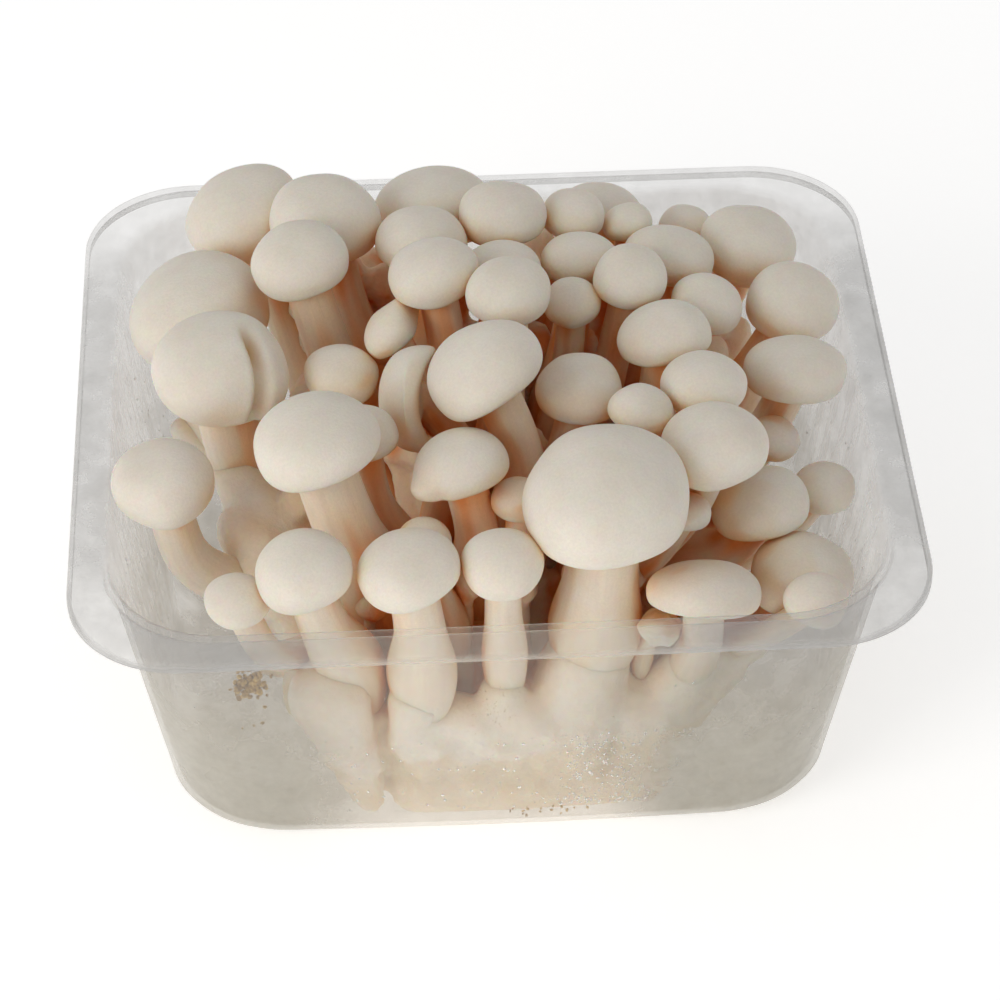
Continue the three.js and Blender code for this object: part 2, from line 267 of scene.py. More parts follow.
@dataclass
class Rooms:
    """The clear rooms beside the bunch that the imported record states; nothing grown may stand in them."""

    boxes: list[tuple[Array, Array]]

    @classmethod
    def read(cls, margin: float = 0.15 * MM) -> "Rooms":
        """Takes the rooms from the record, each a margin wider on every side."""
        found = [np.array(room["box_m"]) for room in frame["record"]["physics"]["openings"]]
        return cls([(box[0] - margin, box[1] + margin) for box in found])

    def push_out(self, places: Array) -> Array:
        """Moves every place that stands in a room to the room's nearest face.

        Args:
            places: places, one row each.

        Returns:
            The places, none of them in a room.
        """
        places = places.copy()
        for low, high in self.boxes:
            rows = np.flatnonzero(np.all((places > low) & (places < high), axis=1))
            if len(rows) == 0:
                continue
            gaps = np.concatenate([places[rows] - low, high - places[rows]], axis=1)
            side = gaps.argmin(axis=1)
            axis = side % 3
            places[rows, axis] = np.where(side < 3, low[axis], high[axis])
        return places

    def hold(self, places: Array) -> bool:
        """Whether any of the places stands in a room."""
        return any(bool(np.all((places > a) & (places < b), axis=1).any()) for a, b in self.boxes)


# ------------------------------------------------------------------------------------------ finishes
MADE: dict[str, bpy.types.Material] = {}  # finishes by their own names; the frame's keep theirs


def dress(piece: bpy.types.Object, *finishes: str) -> None:
    """Gives a piece its finishes, in slot order."""
    for finish in finishes:
        piece.data.materials.append(MADE[finish])


class Graph:
    """Writes one material's node tree."""

    def __init__(self, name: str) -> None:
        """Starts an empty tree with a Principled shader.

        Args:
            name: the finish's name.
        """
        self.material = MADE[name] = bpy.data.materials.new(name)
        self.material.use_nodes = True
        self.tree = self.material.node_tree
        self.tree.nodes.clear()
        self.output = self.add("ShaderNodeOutputMaterial")
        self.shader = self.add("ShaderNodeBsdfPrincipled")
        self.link(self.shader.outputs["BSDF"], self.output.inputs["Surface"])

    def add(self, kind: str, **settings: object) -> bpy.types.Node:
        """Adds a node.

        Args:
            kind: the node's type.
            **settings: its properties.

        Returns:
            The node.
        """
        node = self.tree.nodes.new(kind)
        for key, value in settings.items():
            setattr(node, key, value)
        return node

    def link(self, source: Socket, target: Socket) -> None:
        """Joins two sockets."""
        self.tree.links.new(source, target)

    def feed(self, socket: Socket, value: object) -> None:
        """Gives a socket its value.

        Args:
            socket: an input.
            value: an output to link, or a plain value.
        """
        if isinstance(value, bpy.types.NodeSocket):
            self.link(value, socket)
        else:
            socket.default_value = value

    def place(self) -> Socket:
        """The place on the object, in metres."""
        return self.add("ShaderNodeTexCoord").outputs["Object"]

    def stored(self, name: str, vector: bool = False) -> Socket:
        """A vertex attribute, as a number or as a vector."""
        node = self.add("ShaderNodeAttribute", attribute_name=name)
        return node.outputs["Vector" if vector else "Fac"]

    def noise(self, vector: Socket, grain: float, detail: float = 2.0, rough: float = 0.5) -> Socket:
        """Noise in space.

        Args:
            vector: where it is read.
            grain: the distance between lumps, in the vector's unit.
            detail: how many finer layers it has.
            rough: how strong the finer layers are.

        Returns:
            The noise, about 0 to 1.
        """
        node = self.add("ShaderNodeTexNoise")
        self.link(vector, node.inputs["Vector"])
        for name, number in (("Scale", 1.0 / grain), ("Detail", detail), ("Roughness", rough)):
            node.inputs[name].default_value = number
        return node.outputs["Fac"]

    def math(self, operation: str, a: object, b: object = 0.0) -> Socket:
        """One step of arithmetic.

        Args:
            operation: the step's name.
            a: the first number or socket.
            b: the second.

        Returns:
            The result.
        """
        node = self.add("ShaderNodeMath", operation=operation)
        self.feed(node.inputs[0], a)
        self.feed(node.inputs[1], b)
        return node.outputs[0]

    def spread(self, value: Socket, low: float, high: float, to_low: float, to_high: float) -> Socket:
        """Maps one range onto another, held at the ends.

        Args:
            value: what is mapped.
            low: the first range's start.
            high: its end.
            to_low: the second range's start.
            to_high: its end.

        Returns:
            The mapped value.
        """
        node = self.add("ShaderNodeMapRange")
        self.link(value, node.inputs["Value"])
        ends = (("From Min", low), ("From Max", high), ("To Min", to_low), ("To Max", to_high))
        for name, number in ends:
            node.inputs[name].default_value = number
        return node.outputs["Result"]

    def mix(self, share: object, a: object, b: object, blend: str = "MIX") -> Socket:
        """Mixes two colours.

        Args:
            share: how much of the second shows.
            a: the first colour.
            b: the second colour.
            blend: how they are combined.

        Returns:
            The mixed colour.
        """
        node = self.add("ShaderNodeMix", data_type="RGBA", blend_type=blend)
        for number, value in ((0, share), (6, a), (7, b)):
            self.feed(node.inputs[number], value)
        return node.outputs[2]

    def toned(self, colour: Socket, share: Socket) -> Socket:
        """Makes a colour lighter or darker.

        Args:
            colour: the colour.
            share: how bright it becomes, 1 for no change.

        Returns:
            The toned colour.
        """
        grey = self.add("ShaderNodeCombineColor")
        for socket in grey.inputs[:3]:
            self.link(share, socket)
        return self.mix(1.0, colour, grey.outputs[0], "MULTIPLY")

    def bump(self, height: Socket, depth: float, under: Socket | None = None) -> Socket:
        """Turns a height into a tilt of the surface.

        Args:
            height: the height, from 0 to 1.
            depth: how many metres that is.
            under: a tilt that lies under it.

        Returns:
            The tilted surface direction.
        """
        node = self.add("ShaderNodeBump")
        node.inputs["Distance"].default_value = depth
        self.link(height, node.inputs["Height"])
        if under is not None:
            self.link(under, node.inputs["Normal"])
        return node.outputs["Normal"]

    def set(self, name: str, value: object) -> None:
        """Sets or links one socket of the shader."""
        self.feed(self.shader.inputs[name], value)


@dataclass(frozen=True)
class Flesh:
    """Pale fungus flesh: it lets light in a little, and its colour is painted darker and more orange where
    the bunch hides it from the sky, a painted shade.
    """

    name: str
    light: Colour
    shade: Colour
    # Painted shade: the first of the next two colours is multiplied in where the bunch partly hides the spot
    # from the sky, the second where it hides it most.
    painted_shade: Colour
    painted_deep_shade: Colour
    # Browning colour: real browning on torn caps and the cut underside, and painted shade under an open
    # cap's margin and in a split cap's crack.
    bruised: Colour = (0.62, 0.35, 0.11, 1.0)
    roughness: float = 0.6
    speckle: float = 0.0005
    speckle_depth: float = 0.00006
    fibre_turns: float = 0.0
    fibre_depth: float = 0.0
    blotch: float = 0.006
    # Shares of the shelter where the painted shade and the deep painted shade start and become full.
    shade_from: float = 0.2
    shade_to: float = 0.7
    deep_shade_from: float = 0.58
    deep_shade_to: float = 0.95
    translucence: float = 0.6
    light_depth: float = 0.0035

    def material(self) -> bpy.types.Material:
        """Makes the finish.

        Returns:
            The material.
        """
        g = Graph(self.name)
        place = g.place()
        blotches = g.spread(g.noise(place, self.blotch, 3.0), 0.35, 0.68, 0.0, 1.0)
        speckles = g.noise(place, self.speckle, 3.0, 0.65)
        colour = g.mix(blotches, self.light, self.shade)
        colour = g.toned(colour, g.spread(speckles, 0.3, 0.7, 0.955, 1.03))
        normal = g.bump(speckles, self.speckle_depth)
        if self.fibre_turns:
            fibres = g.noise(g.stored("grain", vector=True), 1.0 / self.fibre_turns, 3.0, 0.6)
            colour = g.toned(colour, g.spread(fibres, 0.35, 0.65, 0.965, 1.02))
            normal = g.bump(fibres, self.fibre_depth, normal)
        # Painted shade: the colour turns darker and more orange where rays find the spot hidden by the
        # bunch; deep is the share of the deep painted shade.
        shelter = g.stored("shelter")
        shade_share = g.spread(shelter, self.shade_from, self.shade_to, 0.0, 1.0)
        deep = g.spread(shelter, self.deep_shade_from, self.deep_shade_to, 0.0, 1.0)
        colour = g.mix(shade_share, colour, self.painted_shade, "MULTIPLY")
        colour = g.mix(deep, colour, self.painted_deep_shade, "MULTIPLY")
        # Browning, which on open and split caps is painted shade.
        colour = g.mix(g.stored("bruise"), colour, self.bruised)
        g.set("Base Color", colour)
        g.set("Roughness", self.roughness)
        g.set("Normal", normal)
        g.set("Specular IOR Level", 0.35)
        g.set("Subsurface Weight", self.translucence)
        g.set("Subsurface Radius", (1.0, 0.38, 0.16))
        g.set("Subsurface Scale", self.light_depth)
        return g.material


@dataclass(frozen=True)
class ClearSheet:
    """Thin formed plastic: a pale veil, thicker at a glancing angle and where the inside is fogged; its
    colour is painted warmer low on the walls and paler in front of the flesh, for the flesh's light in the
    mist.
    """

    name: str
    tint: Colour = (0.57, 0.56, 0.545, 1.0)
    # Painted light: the second tint, low on the walls, stands for the flesh's warmer light in the mist, and
    # the third, in front of the flesh, for light from it.
    painted_glow_tint: Colour = (0.55, 0.515, 0.435, 1.0)
    painted_light_tint: Colour = (0.80, 0.74, 0.645, 1.0)
    cloud: float = 0.0065
    edge_on: float = 0.38
    thickest: float = 0.94
    roughness: float = 0.24

    def material(self) -> bpy.types.Material:
        """Makes the finish.

        Returns:
            The material.
        """
        g = Graph(self.name)
        place = g.place()
        clouds = g.spread(g.noise(place, self.cloud, 4.0, 0.62), 0.3, 0.7, 0.76, 1.2)
        veil = g.math("MULTIPLY", g.stored("veil"), clouds)
        facing = g.add("ShaderNodeLayerWeight")
        facing.inputs["Blend"].default_value = 0.3
        glance = g.math("MULTIPLY", g.math("POWER", facing.outputs["Facing"], 3.0), self.edge_on)
        g.set("Alpha", g.math("MINIMUM", g.math("ADD", veil, glance), self.thickest))
        # Painted light: a warmer tint low on the walls and a pale tint in front of the flesh stand for the
        # flesh's light in the mist.
        glow_tinted = g.mix(g.stored("warmth"), self.tint, self.painted_glow_tint)
        g.set("Base Color", g.mix(g.stored("haze"), glow_tinted, self.painted_light_tint))
        dulled = self.roughness + 0.1
        g.set("Roughness", g.spread(g.noise(place, 0.02, 2.0), 0.3, 0.7, self.roughness, dulled))
        g.set("Normal", g.bump(g.noise(place, 0.03, 1.0), 0.0002))
        g.set("Specular IOR Level", 0.4)
        g.set("Coat Weight", 0.2)
        g.set("Coat Roughness", 0.15)
        return g.material


@dataclass(frozen=True)
class Dew:
    """Small drops of water, partly white: the white share is a painted glint on each drop."""

    name: str
    # Painted highlight: the white base colour, which shows through the share that is not clear, stands in
    # for glints.
    colour: Colour = (0.94, 0.95, 0.95, 1.0)
    clearness: float = 0.6

    def material(self) -> bpy.types.Material:
        """Makes the finish.

        Returns:
            The material.
        """
        g = Graph(self.name)
        g.set("Base Color", self.colour)
        g.set("Roughness", g.spread(g.noise(g.place(), 0.004), 0.3, 0.7, 0.02, 0.09))
        g.set("Transmission Weight", self.clearness)
        g.set("IOR", 1.33)
        return g.material


@dataclass(frozen=True)
class Husk:
    """Dry brown crumbs of growing medium."""

    name: str
    light: Colour = (0.70, 0.47, 0.16, 1.0)
    dark: Colour = (0.27, 0.15, 0.05, 1.0)

    def material(self) -> bpy.types.Material:
        """Makes the finish.

        Returns:
            The material.
        """
        g = Graph(self.name)
        place = g.place()
        share = g.spread(g.noise(place, 0.0012, 3.0), 0.35, 0.65, 0.0, 1.0)
        g.set("Base Color", g.mix(share, self.light, self.dark))
        g.set("Roughness", g.spread(share, 0.0, 1.0, 0.7, 0.9))
        g.set("Normal", g.bump(g.noise(place, 0.0004, 2.0), 0.0001))
        return g.material


@dataclass(frozen=True)
class PaleFloor:
    """A plain pale table top."""

    name: str
    colour: Colour = (0.90, 0.90, 0.90, 1.0)
    glow: float = 0.48

    def material(self) -> bpy.types.Material:
        """Makes the finish.

        Returns:
            The material.
        """
        g = Graph(self.name)
        g.set("Base Color", self.colour)
        g.set("Roughness", g.spread(g.noise(g.place(), 0.05), 0.3, 0.7, 0.85, 0.95))
        g.set("Emission Color", (1.0, 1.0, 1.0, 1.0))
        g.set("Emission Strength", self.glow)
        return g.material


# In each flesh below, the third and fourth colours are painted shade for the gaps in the bunch.
FINISHES = (
    Flesh(
        "cap_skin", light=(0.870, 0.820, 0.730, 1.0), shade=(0.835, 0.778, 0.680, 1.0),
        painted_shade=(1.0, 0.92, 0.80, 1.0), painted_deep_shade=(1.0, 0.70, 0.44, 1.0),
    ),
    Flesh(
        "stem_flesh", light=(0.880, 0.805, 0.690, 1.0), shade=(0.860, 0.770, 0.640, 1.0),
        painted_shade=(1.0, 0.87, 0.70, 1.0), painted_deep_shade=(0.96, 0.47, 0.20, 1.0),
        roughness=0.62, fibre_turns=4.0, fibre_depth=0.00009,
    ),
    Flesh(
        "gill_flesh", light=(0.830, 0.745, 0.620, 1.0), shade=(0.790, 0.690, 0.555, 1.0),
        painted_shade=(1.0, 0.85, 0.67, 1.0), painted_deep_shade=(0.96, 0.50, 0.24, 1.0), roughness=0.75,
    ),
    Flesh(
        "clump_flesh", light=(0.925, 0.870, 0.785, 1.0), shade=(0.895, 0.820, 0.710, 1.0),
        painted_shade=(1.0, 0.86, 0.70, 1.0), painted_deep_shade=(0.95, 0.45, 0.19, 1.0),
        bruised=(0.84, 0.72, 0.54, 1.0), roughness=0.8, speckle=0.0009, speckle_depth=0.0002,
        blotch=0.009, deep_shade_from=0.78,
    ),
    ClearSheet("clear_sheet"),
    Dew("dew"),
    Husk("husk"),
    PaleFloor("pale_floor"),
)


# ------------------------------------------------------------------------------------------ mushrooms
RING_SIZE = 9  # points in one ring of a packed mushroom
STEM_RINGS = 5
WIDEST_RING = 9
FIRST_SEED = 100  # the first mushroom's; each next one has the next number


@dataclass
class Skeleton:
    """What a packed mushroom says of its spine, its girths and its cap."""

    foot: Array
    centres: Array
    girths: Array
    cap_centre: Array
    cap_axis: Array
    cap_radius: float
    dome: float

    @classmethod
    def read(cls, node: bpy.types.Object) -> "Skeleton":
        """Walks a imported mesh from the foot's pole to the cap's pole.

        Args:
            node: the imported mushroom.

        Returns:
            Its skeleton.
        """
        mesh = node.data
        raw = np.array([v.co for v in mesh.vertices])
        spots, number = np.unique(np.round(raw, 7), axis=0, return_inverse=True)
        number = number.ravel()
        beside: list[set[int]] = [set() for _ in spots]
        for polygon in mesh.polygons:
            corners = [int(number[v]) for v in polygon.vertices]
            for a, b in zip(corners, corners[1:] + corners[:1]):
                beside[a].add(b)
                beside[b].add(a)
        poles = [k for k, near in enumerate(beside) if len(near) == RING_SIZE]
        start = min(poles, key=lambda k: spots[k][2])
        rings = [[start]]
        seen = {start}
        while rings[-1]:
            ring = sorted({n for k in rings[-1] for n in beside[k]} - seen)
            seen.update(ring)
            rings.append(ring)
        rings.pop()
        middles = [spots[ring].mean(axis=0) for ring in rings]
        girth = [np.linalg.norm(spots[r] - m, axis=1).mean() for r, m in zip(rings, middles)]
        rise = middles[-1] - middles[WIDEST_RING]
        return cls(
            foot=middles[0],
            centres=np.array(middles[1 : STEM_RINGS + 1]),
            girths=np.array(girth[1 : STEM_RINGS + 1]),
            cap_centre=middles[WIDEST_RING],
            cap_axis=unit(rise),
            cap_radius=float(girth[WIDEST_RING]),
            dome=float(np.linalg.norm(rise) / girth[WIDEST_RING]),
        )


class CapKind(Enum):
    """The shapes that a cap can have grown into."""

    ROUND = "round"
    OPEN = "open"
    TORN = "torn"
    SPLIT = "split"
    BEAN = "bean"
    LEAF = "leaf"
    LOBED = "lobed"
    CURLED = "curled"


CAP_KINDS: dict[str, CapKind] = {
    "open_mushroom": CapKind.OPEN,
    "torn_mushroom": CapKind.TORN,
    "split_mushroom": CapKind.SPLIT,
    "side_on_mushroom": CapKind.BEAN,
    "leaf_mushroom": CapKind.LEAF,
    "middle_mushroom_2": CapKind.LOBED,
    "second_row_7": CapKind.CURLED,
}

# A cap's section from the stem to the widest level: [share of the radius, height in radii].
INROLLED = np.array([
    [0.46, -0.10], [0.70, -0.10], [0.82, -0.16], [0.865, -0.245], [0.91, -0.30], [0.96, -0.245],
    [0.99, -0.125],
])
OPENED = np.array([
    [0.46, -0.10], [0.72, -0.04], [0.86, -0.09], [0.91, -0.15], [0.95, -0.185], [0.985, -0.13],
    [0.998, -0.06],
])
GILL_END = 0.80  # share of the radius where the gills stop, inside the margin
SHALLOW_MARGINS = {"second_row_2", "tipped_mushroom", "middle_mushroom_2"}  # caps that open a little


@dataclass
class Mushroom:
    """One mushroom, from its foot in the base to the top of its cap."""

    name: str
    skeleton: Skeleton
    seed: int
    kind: CapKind
    rooms: Rooms
    stem_rows: int = 30
    under_rows: int = 20
    dome_rows: int = 20
    buried: float = 5.0 * MM
    flare: float = 0.10
    oval: float = 0.035
    ridges: float = 0.007
    fibres: float = 0.0045
    ripple: float = 0.016
    gill_depth: float = 0.05
    fullness: float = 0.94
    unevenness: float = 0.014
    around: int = field(init=False)

    def __post_init__(self) -> None:
        """Gives a wider cap more points round it."""
        radius = self.skeleton.cap_radius
        self.around = 96 if radius > 9.5 * MM else 72 if radius > 7.0 * MM else 56

    def stem(self, turn: Array) -> tuple[Array, Array]:
        """Points of the stem, from the buried foot to the cap's underside.

        Args:
            turn: angles round the stem.

        Returns:
            The points, rows by turns, and for each row its share of the stem's length.
        """
        s = self.skeleton
        sunk = s.foot - np.array([0.0, 0.0, self.buried])
        line = np.vstack([sunk, s.foot, s.centres])
        girth = np.concatenate([[s.girths[0] * 0.9, s.girths[0] * 0.95], s.girths])
        knots = np.concatenate([[0.0], np.cumsum(np.linalg.norm(np.diff(line, axis=0), axis=1))])
        share = np.linspace(0.0, 1.0, self.stem_rows)
        places = share * knots[-1]
        centre = curve_through(knots, line, places)
        radius = curve_through(knots, girth, places)
        radius *= 1.0 + self.flare * smoothstep(share, 0.93, 1.0)
        ways = across(unit_rows(np.gradient(centre, axis=0)))
        draw = np.random.default_rng(self.seed + 1000)
        phase = draw.uniform(0, 2 * math.pi, 4)
        oval = 1.0 + self.oval * np.cos(2 * turn + phase[0])[None, :]
        ridge = self.ridges * np.sin(7 * turn[None, :] + phase[1] + 2.0 * share[:, None])
        fine = self.fibres * np.sin(15 * turn[None, :] + phase[2] - 3.0 * share[:, None])
        ripple = self.ripple * np.sin(9.0 * share + phase[3])[:, None]
        reach = radius[:, None] * (oval + ridge + fine + ripple)
        return ring_points(centre, ways, reach, turn), share

    def section(self) -> tuple[Array, int]:
        """The cap's half section, [share of the radius, height in radii].

        Returns:
            The section's rows, and how many of them carry gills.
        """
        s = self.skeleton
        under = OPENED if self.kind is CapKind.OPEN else INROLLED
        inner = float(s.girths[-1] / s.cap_radius) * 1.12
        under = under[under[:, 0] > inner + 0.07]
        knots = np.vstack([[inner, -0.165], under, [1.0, 0.0]])
        if self.name in SHALLOW_MARGINS:
            knots[1:, 1] *= 0.66
        place = np.concatenate([[0.0], np.cumsum(np.linalg.norm(np.diff(knots, axis=0), axis=1))])
        low = curve_through(place, knots, np.linspace(0.0, place[-1], self.under_rows))
        angle = np.linspace(0.0, math.pi / 2, self.dome_rows + 1)[1:-1]
        high = np.column_stack([np.cos(angle) ** self.fullness, s.dome * np.sin(angle)])
        return np.vstack([low, high]), int(np.sum(low[:, 0] < GILL_END))

    def cap(self, turn: Array) -> tuple[Array, Array, Array]:
        """Points of the cap, from the stem over the margin to the last row below its top.

        Args:
            turn: angles round the cap.

        Returns:
            The points, rows by turns, their browning and painted shade, and the place of the cap's top.
        """
        s = self.skeleton
        section, gill_rows = self.section()
        draw = np.random.default_rng(self.seed)
        phase = draw.uniform(0, 2 * math.pi, 5)
        outline = (
            1.0
            + 0.022 * np.cos(2 * turn + phase[0])
            + 0.014 * np.cos(3 * turn + phase[1])
            + 0.006 * np.cos(5 * turn + phase[2])
        )
        share, height = section[:, 0][:, None], section[:, 1][:, None]
        sway = 0.035 * np.cos(2 * turn + phase[3]) + 0.02 * np.cos(3 * turn + phase[4])
        near_margin = smoothstep(share, 0.55, 0.95) * smoothstep(height, 0.45, -0.05)
        blade = np.where(np.arange(len(turn)) % 2 == 0, 0.5, -0.5)[None, :]
        gilled = (np.arange(len(section)) < gill_rows)[:, None]
        inner = section[0, 0]
        depth = self.gill_depth * smoothstep(share, inner, inner + 0.12)
        depth = depth * smoothstep(share, GILL_END + 0.02, GILL_END - 0.1)
        local = np.stack(
            [
                share * outline * np.cos(turn),
                share * outline * np.sin(turn),
                height + sway[None, :] * near_margin + blade * depth * gilled,
            ],
            axis=2,
        )
        flat = np.vstack([local.reshape(-1, 3), [[0.0, 0.0, s.dome]]])
        outward = flat / np.maximum(np.linalg.norm(flat, axis=1), 1e-6)[:, None]
        flat = flat + outward * (self.unevenness * lumps(flat, self.seed, 1.3))[:, None]
        flat, bruise = self.grown(flat)
        axis = s.cap_axis[None, :]
        right, back = across(axis)
        world = s.cap_centre + s.cap_radius * (
            flat[:, 0:1] * right + flat[:, 1:2] * back + flat[:, 2:3] * axis
        )
        return world[:-1].reshape(local.shape), bruise, world[-1]

    def grown(self, p: Array) -> tuple[Array, Array]:
        """Bends a round cap into the kind that it has grown into.

        Args:
            p: places in cap radii, to the right, to the back and up the cap's axis.

        Returns:
            The bent places, and the share of browning colour at each: real browning on a torn cap, painted
            shade under an open cap's margin and in a split cap's crack.
        """
        p = p.copy()
        bruise = np.zeros(len(p))
        turn = np.arctan2(p[:, 1], p[:, 0])
        reach = np.hypot(p[:, 0], p[:, 1])
        if self.kind is CapKind.SPLIT:
            high = 0.64 * p[:, 1] + 0.77 * p[:, 2]
            beyond = p[:, 0] - (0.60 - 0.40 * (high + 0.12) ** 2)
            seen = smoothstep(high, 0.75, 0.45)
            skin = smoothstep(p[:, 2], -0.28, -0.18)
            crack = bump_at(beyond, 0.06, 0.075) * seen * skin
            lip = bump_at(beyond, -0.05, 0.07) * seen * skin
            flap = smoothstep(beyond, 0.05, 0.14) * seen
            p *= (1.0 - 0.24 * crack + 0.02 * lip)[:, None]
            p[:, 2] -= 0.09 * flap
            p[:, 0] += 0.03 * flap
            # Ochre along the crack, strongest in its upper hollow: painted shade in the crack.
            bruise = crack * (0.2 + 0.8 * bump_at(high, 0.42, 0.28))
        elif self.kind is CapKind.TORN:
            rag = lumps(p, self.seed + 5, 0.9)
            p[:, :2] *= (1.0 + 0.13 * rag * smoothstep(reach, 0.3, 1.0))[:, None]
            p[:, 2] = p[:, 2] * 0.85 + 0.10 * lumps(p, self.seed + 6, 1.1)
            bruise = 0.12 * smoothstep(rag, 0.5, 1.2)
        elif self.kind is CapKind.BEAN:
            facing = 0.64 * p[:, 0] - 0.77 * p[:, 1]
            along = 0.77 * p[:, 0] + 0.64 * p[:, 1]
            rim = smoothstep(p[:, 2], 0.45, -0.1) * smoothstep(reach, 0.4, 1.0)
            p[:, 2] += rim * (0.36 * smoothstep(facing, 0.1, 1.0) - 0.22 * along**2)
            p[:, :2] *= 1.06
        elif self.kind is CapKind.LEAF:
            along = (p[:, 0] + p[:, 1]) / math.sqrt(2)
            across = (p[:, 1] - p[:, 0]) / math.sqrt(2)
            tip = smoothstep(along, 0.0, 1.1)
            along = along * (1.04 + 0.36 * tip)
            across = across * (0.85 - 0.50 * tip)
            p[:, 0] = (along - across) / math.sqrt(2)
            p[:, 1] = (along + across) / math.sqrt(2)
        elif self.kind is CapKind.LOBED:
            lobe = bump_at(turn, math.radians(-150), 0.30) * smoothstep(p[:, 2], 0.35, -0.05)
            neck = bump_at(turn, math.radians(-118), 0.16) * smoothstep(p[:, 2], 0.30, -0.05)
            p[:, :2] *= (1.0 + 0.16 * lobe - 0.07 * neck)[:, None]
            p[:, 2] += 0.06 * lobe * smoothstep(reach, 0.5, 1.0)
        elif self.kind is CapKind.CURLED:
            curl = bump_at(turn, math.radians(20), 0.4) * smoothstep(reach, 0.55, 1.0)
            p[:, 2] += 0.16 * curl
            p[:, :2] *= (1.0 - 0.06 * curl)[:, None]
        elif self.kind is CapKind.OPEN:
            # A dark ochre band under the margin: painted shade beneath the open cap's rim.
            bruise = 0.5 * bump_at(reach, 0.86, 0.06) * (p[:, 2] < -0.08)
        return p, bruise

    def build(self) -> bpy.types.Object:
        """Makes the mesh.

        Returns:
            The mushroom as an object with its finishes and vertex attributes.
        """
        turn = np.linspace(0.0, 2 * math.pi, self.around, endpoint=False)
        stem, share = self.stem(turn)
        gill_rows = self.section()[1]
        cap, bruise, top = self.cap(turn)
        points = self.rooms.push_out(np.vstack([stem.reshape(-1, 3), cap.reshape(-1, 3)]))
        rows = len(stem) + len(cap)
        start = stem[0].mean(axis=0)
        whole = np.vstack([start, points, top])
        piece = new_piece(f"{self.name}_flesh", whole, ring_faces(rows, self.around))
        length = np.concatenate([share * 0.8, 0.8 + 0.2 * np.linspace(0, 1, len(cap))])
        grain = np.stack(
            [
                np.tile(np.cos(turn), rows),
                np.tile(np.sin(turn), rows),
                np.repeat(length * 0.9, self.around),
            ],
            axis=1,
        )
        store(piece, "grain", np.vstack([[1, 0, 0], grain, [1, 0, 0.9]]))
        stem_count = 1 + len(stem) * self.around
        store(piece, "bruise", np.concatenate([np.zeros(stem_count), bruise]))
        self._dress(piece, len(stem), len(stem) + gill_rows)
        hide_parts(self.name)
        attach(piece, BODY)
        return piece

    def _dress(self, piece: bpy.types.Object, stem_rows: int, gill_rows: int) -> None:
        """Gives the stem, the gills and the cap their finishes by row.

        Args:
            piece: the mushroom.
            stem_rows: rows that belong to the stem.
            gill_rows: the row where the gills end.
        """
        dress(piece, "stem_flesh", "gill_flesh", "cap_skin")
        index = []
        for polygon in piece.data.polygons:
            lowest = (min(polygon.vertices) - 1) // self.around
            index.append(0 if lowest < stem_rows else 1 if lowest < gill_rows else 2)
        piece.data.polygons.foreach_set("material_index", index)


# ------------------------------------------------------------------------------------------ base
@dataclass(frozen=True)
class Swell:
    """A tapered, round-ended swelling of fused flesh, from one ball to another; lengths in mm."""

    start: Place
    start_size: float
    end: Place
    end_size: float


FRONT_SWELLS = (
    Swell((-30.8, -49.2, 30.5), 7.6, (-24.0, -51.6, 6.5), 2.6),
    Swell((-29.0, -42.0, 22.0), 6.0, (-22.0, -43.0, 8.0), 5.5),
    Swell((-15.6, -49.6, 29.0), 5.0, (-19.0, -49.6, 17.0), 1.7),
    Swell((16.0, -41.0, 30.0), 8.0, (12.0, -42.0, 15.0), 10.8),
    Swell((22.0, -41.0, 18.0), 7.0, (19.0, -41.0, 7.0), 8.0),
    Swell((36.0, -41.8, 30.0), 4.6, (30.0, -39.5, 17.0), 7.0),
    Swell((-8.0, -47.0, 22.5), 4.8, (-3.5, -47.6, 21.5), 4.6),
    Swell((2.5, -47.4, 23.0), 4.6, (7.5, -47.0, 19.5), 5.6),
    Swell((0.2, -46.2, 27.5), 4.2, (1.0, -47.4, 17.0), 5.4),
    Swell((-3.0, -49.0, 18.5), 3.6, (2.0, -49.0, 17.0), 3.8),
    Swell((-14.0, -47.6, 7.0), 6.6, (4.5, -47.8, 6.8), 6.8),
    Swell((7.0, -47.6, 6.6), 6.4, (25.0, -46.4, 6.6), 6.2),
    Swell((-6.0, -46.0, 12.5), 6.0, (2.0, -46.0, 12.5), 6.0),
    Swell((45.0, -37.0, 30.0), 5.0, (31.0, -37.0, 15.0), 7.5),
    Swell((31.0, -37.0, 15.0), 7.5, (22.0, -40.0, 8.0), 7.5),
    Swell((27.0, -41.5, 16.0), 7.0, (24.0, -43.0, 7.0), 7.0),
    Swell((-33.0, -25.0, 10.0), 7.0, (-24.0, -38.0, 8.0), 8.0),
)
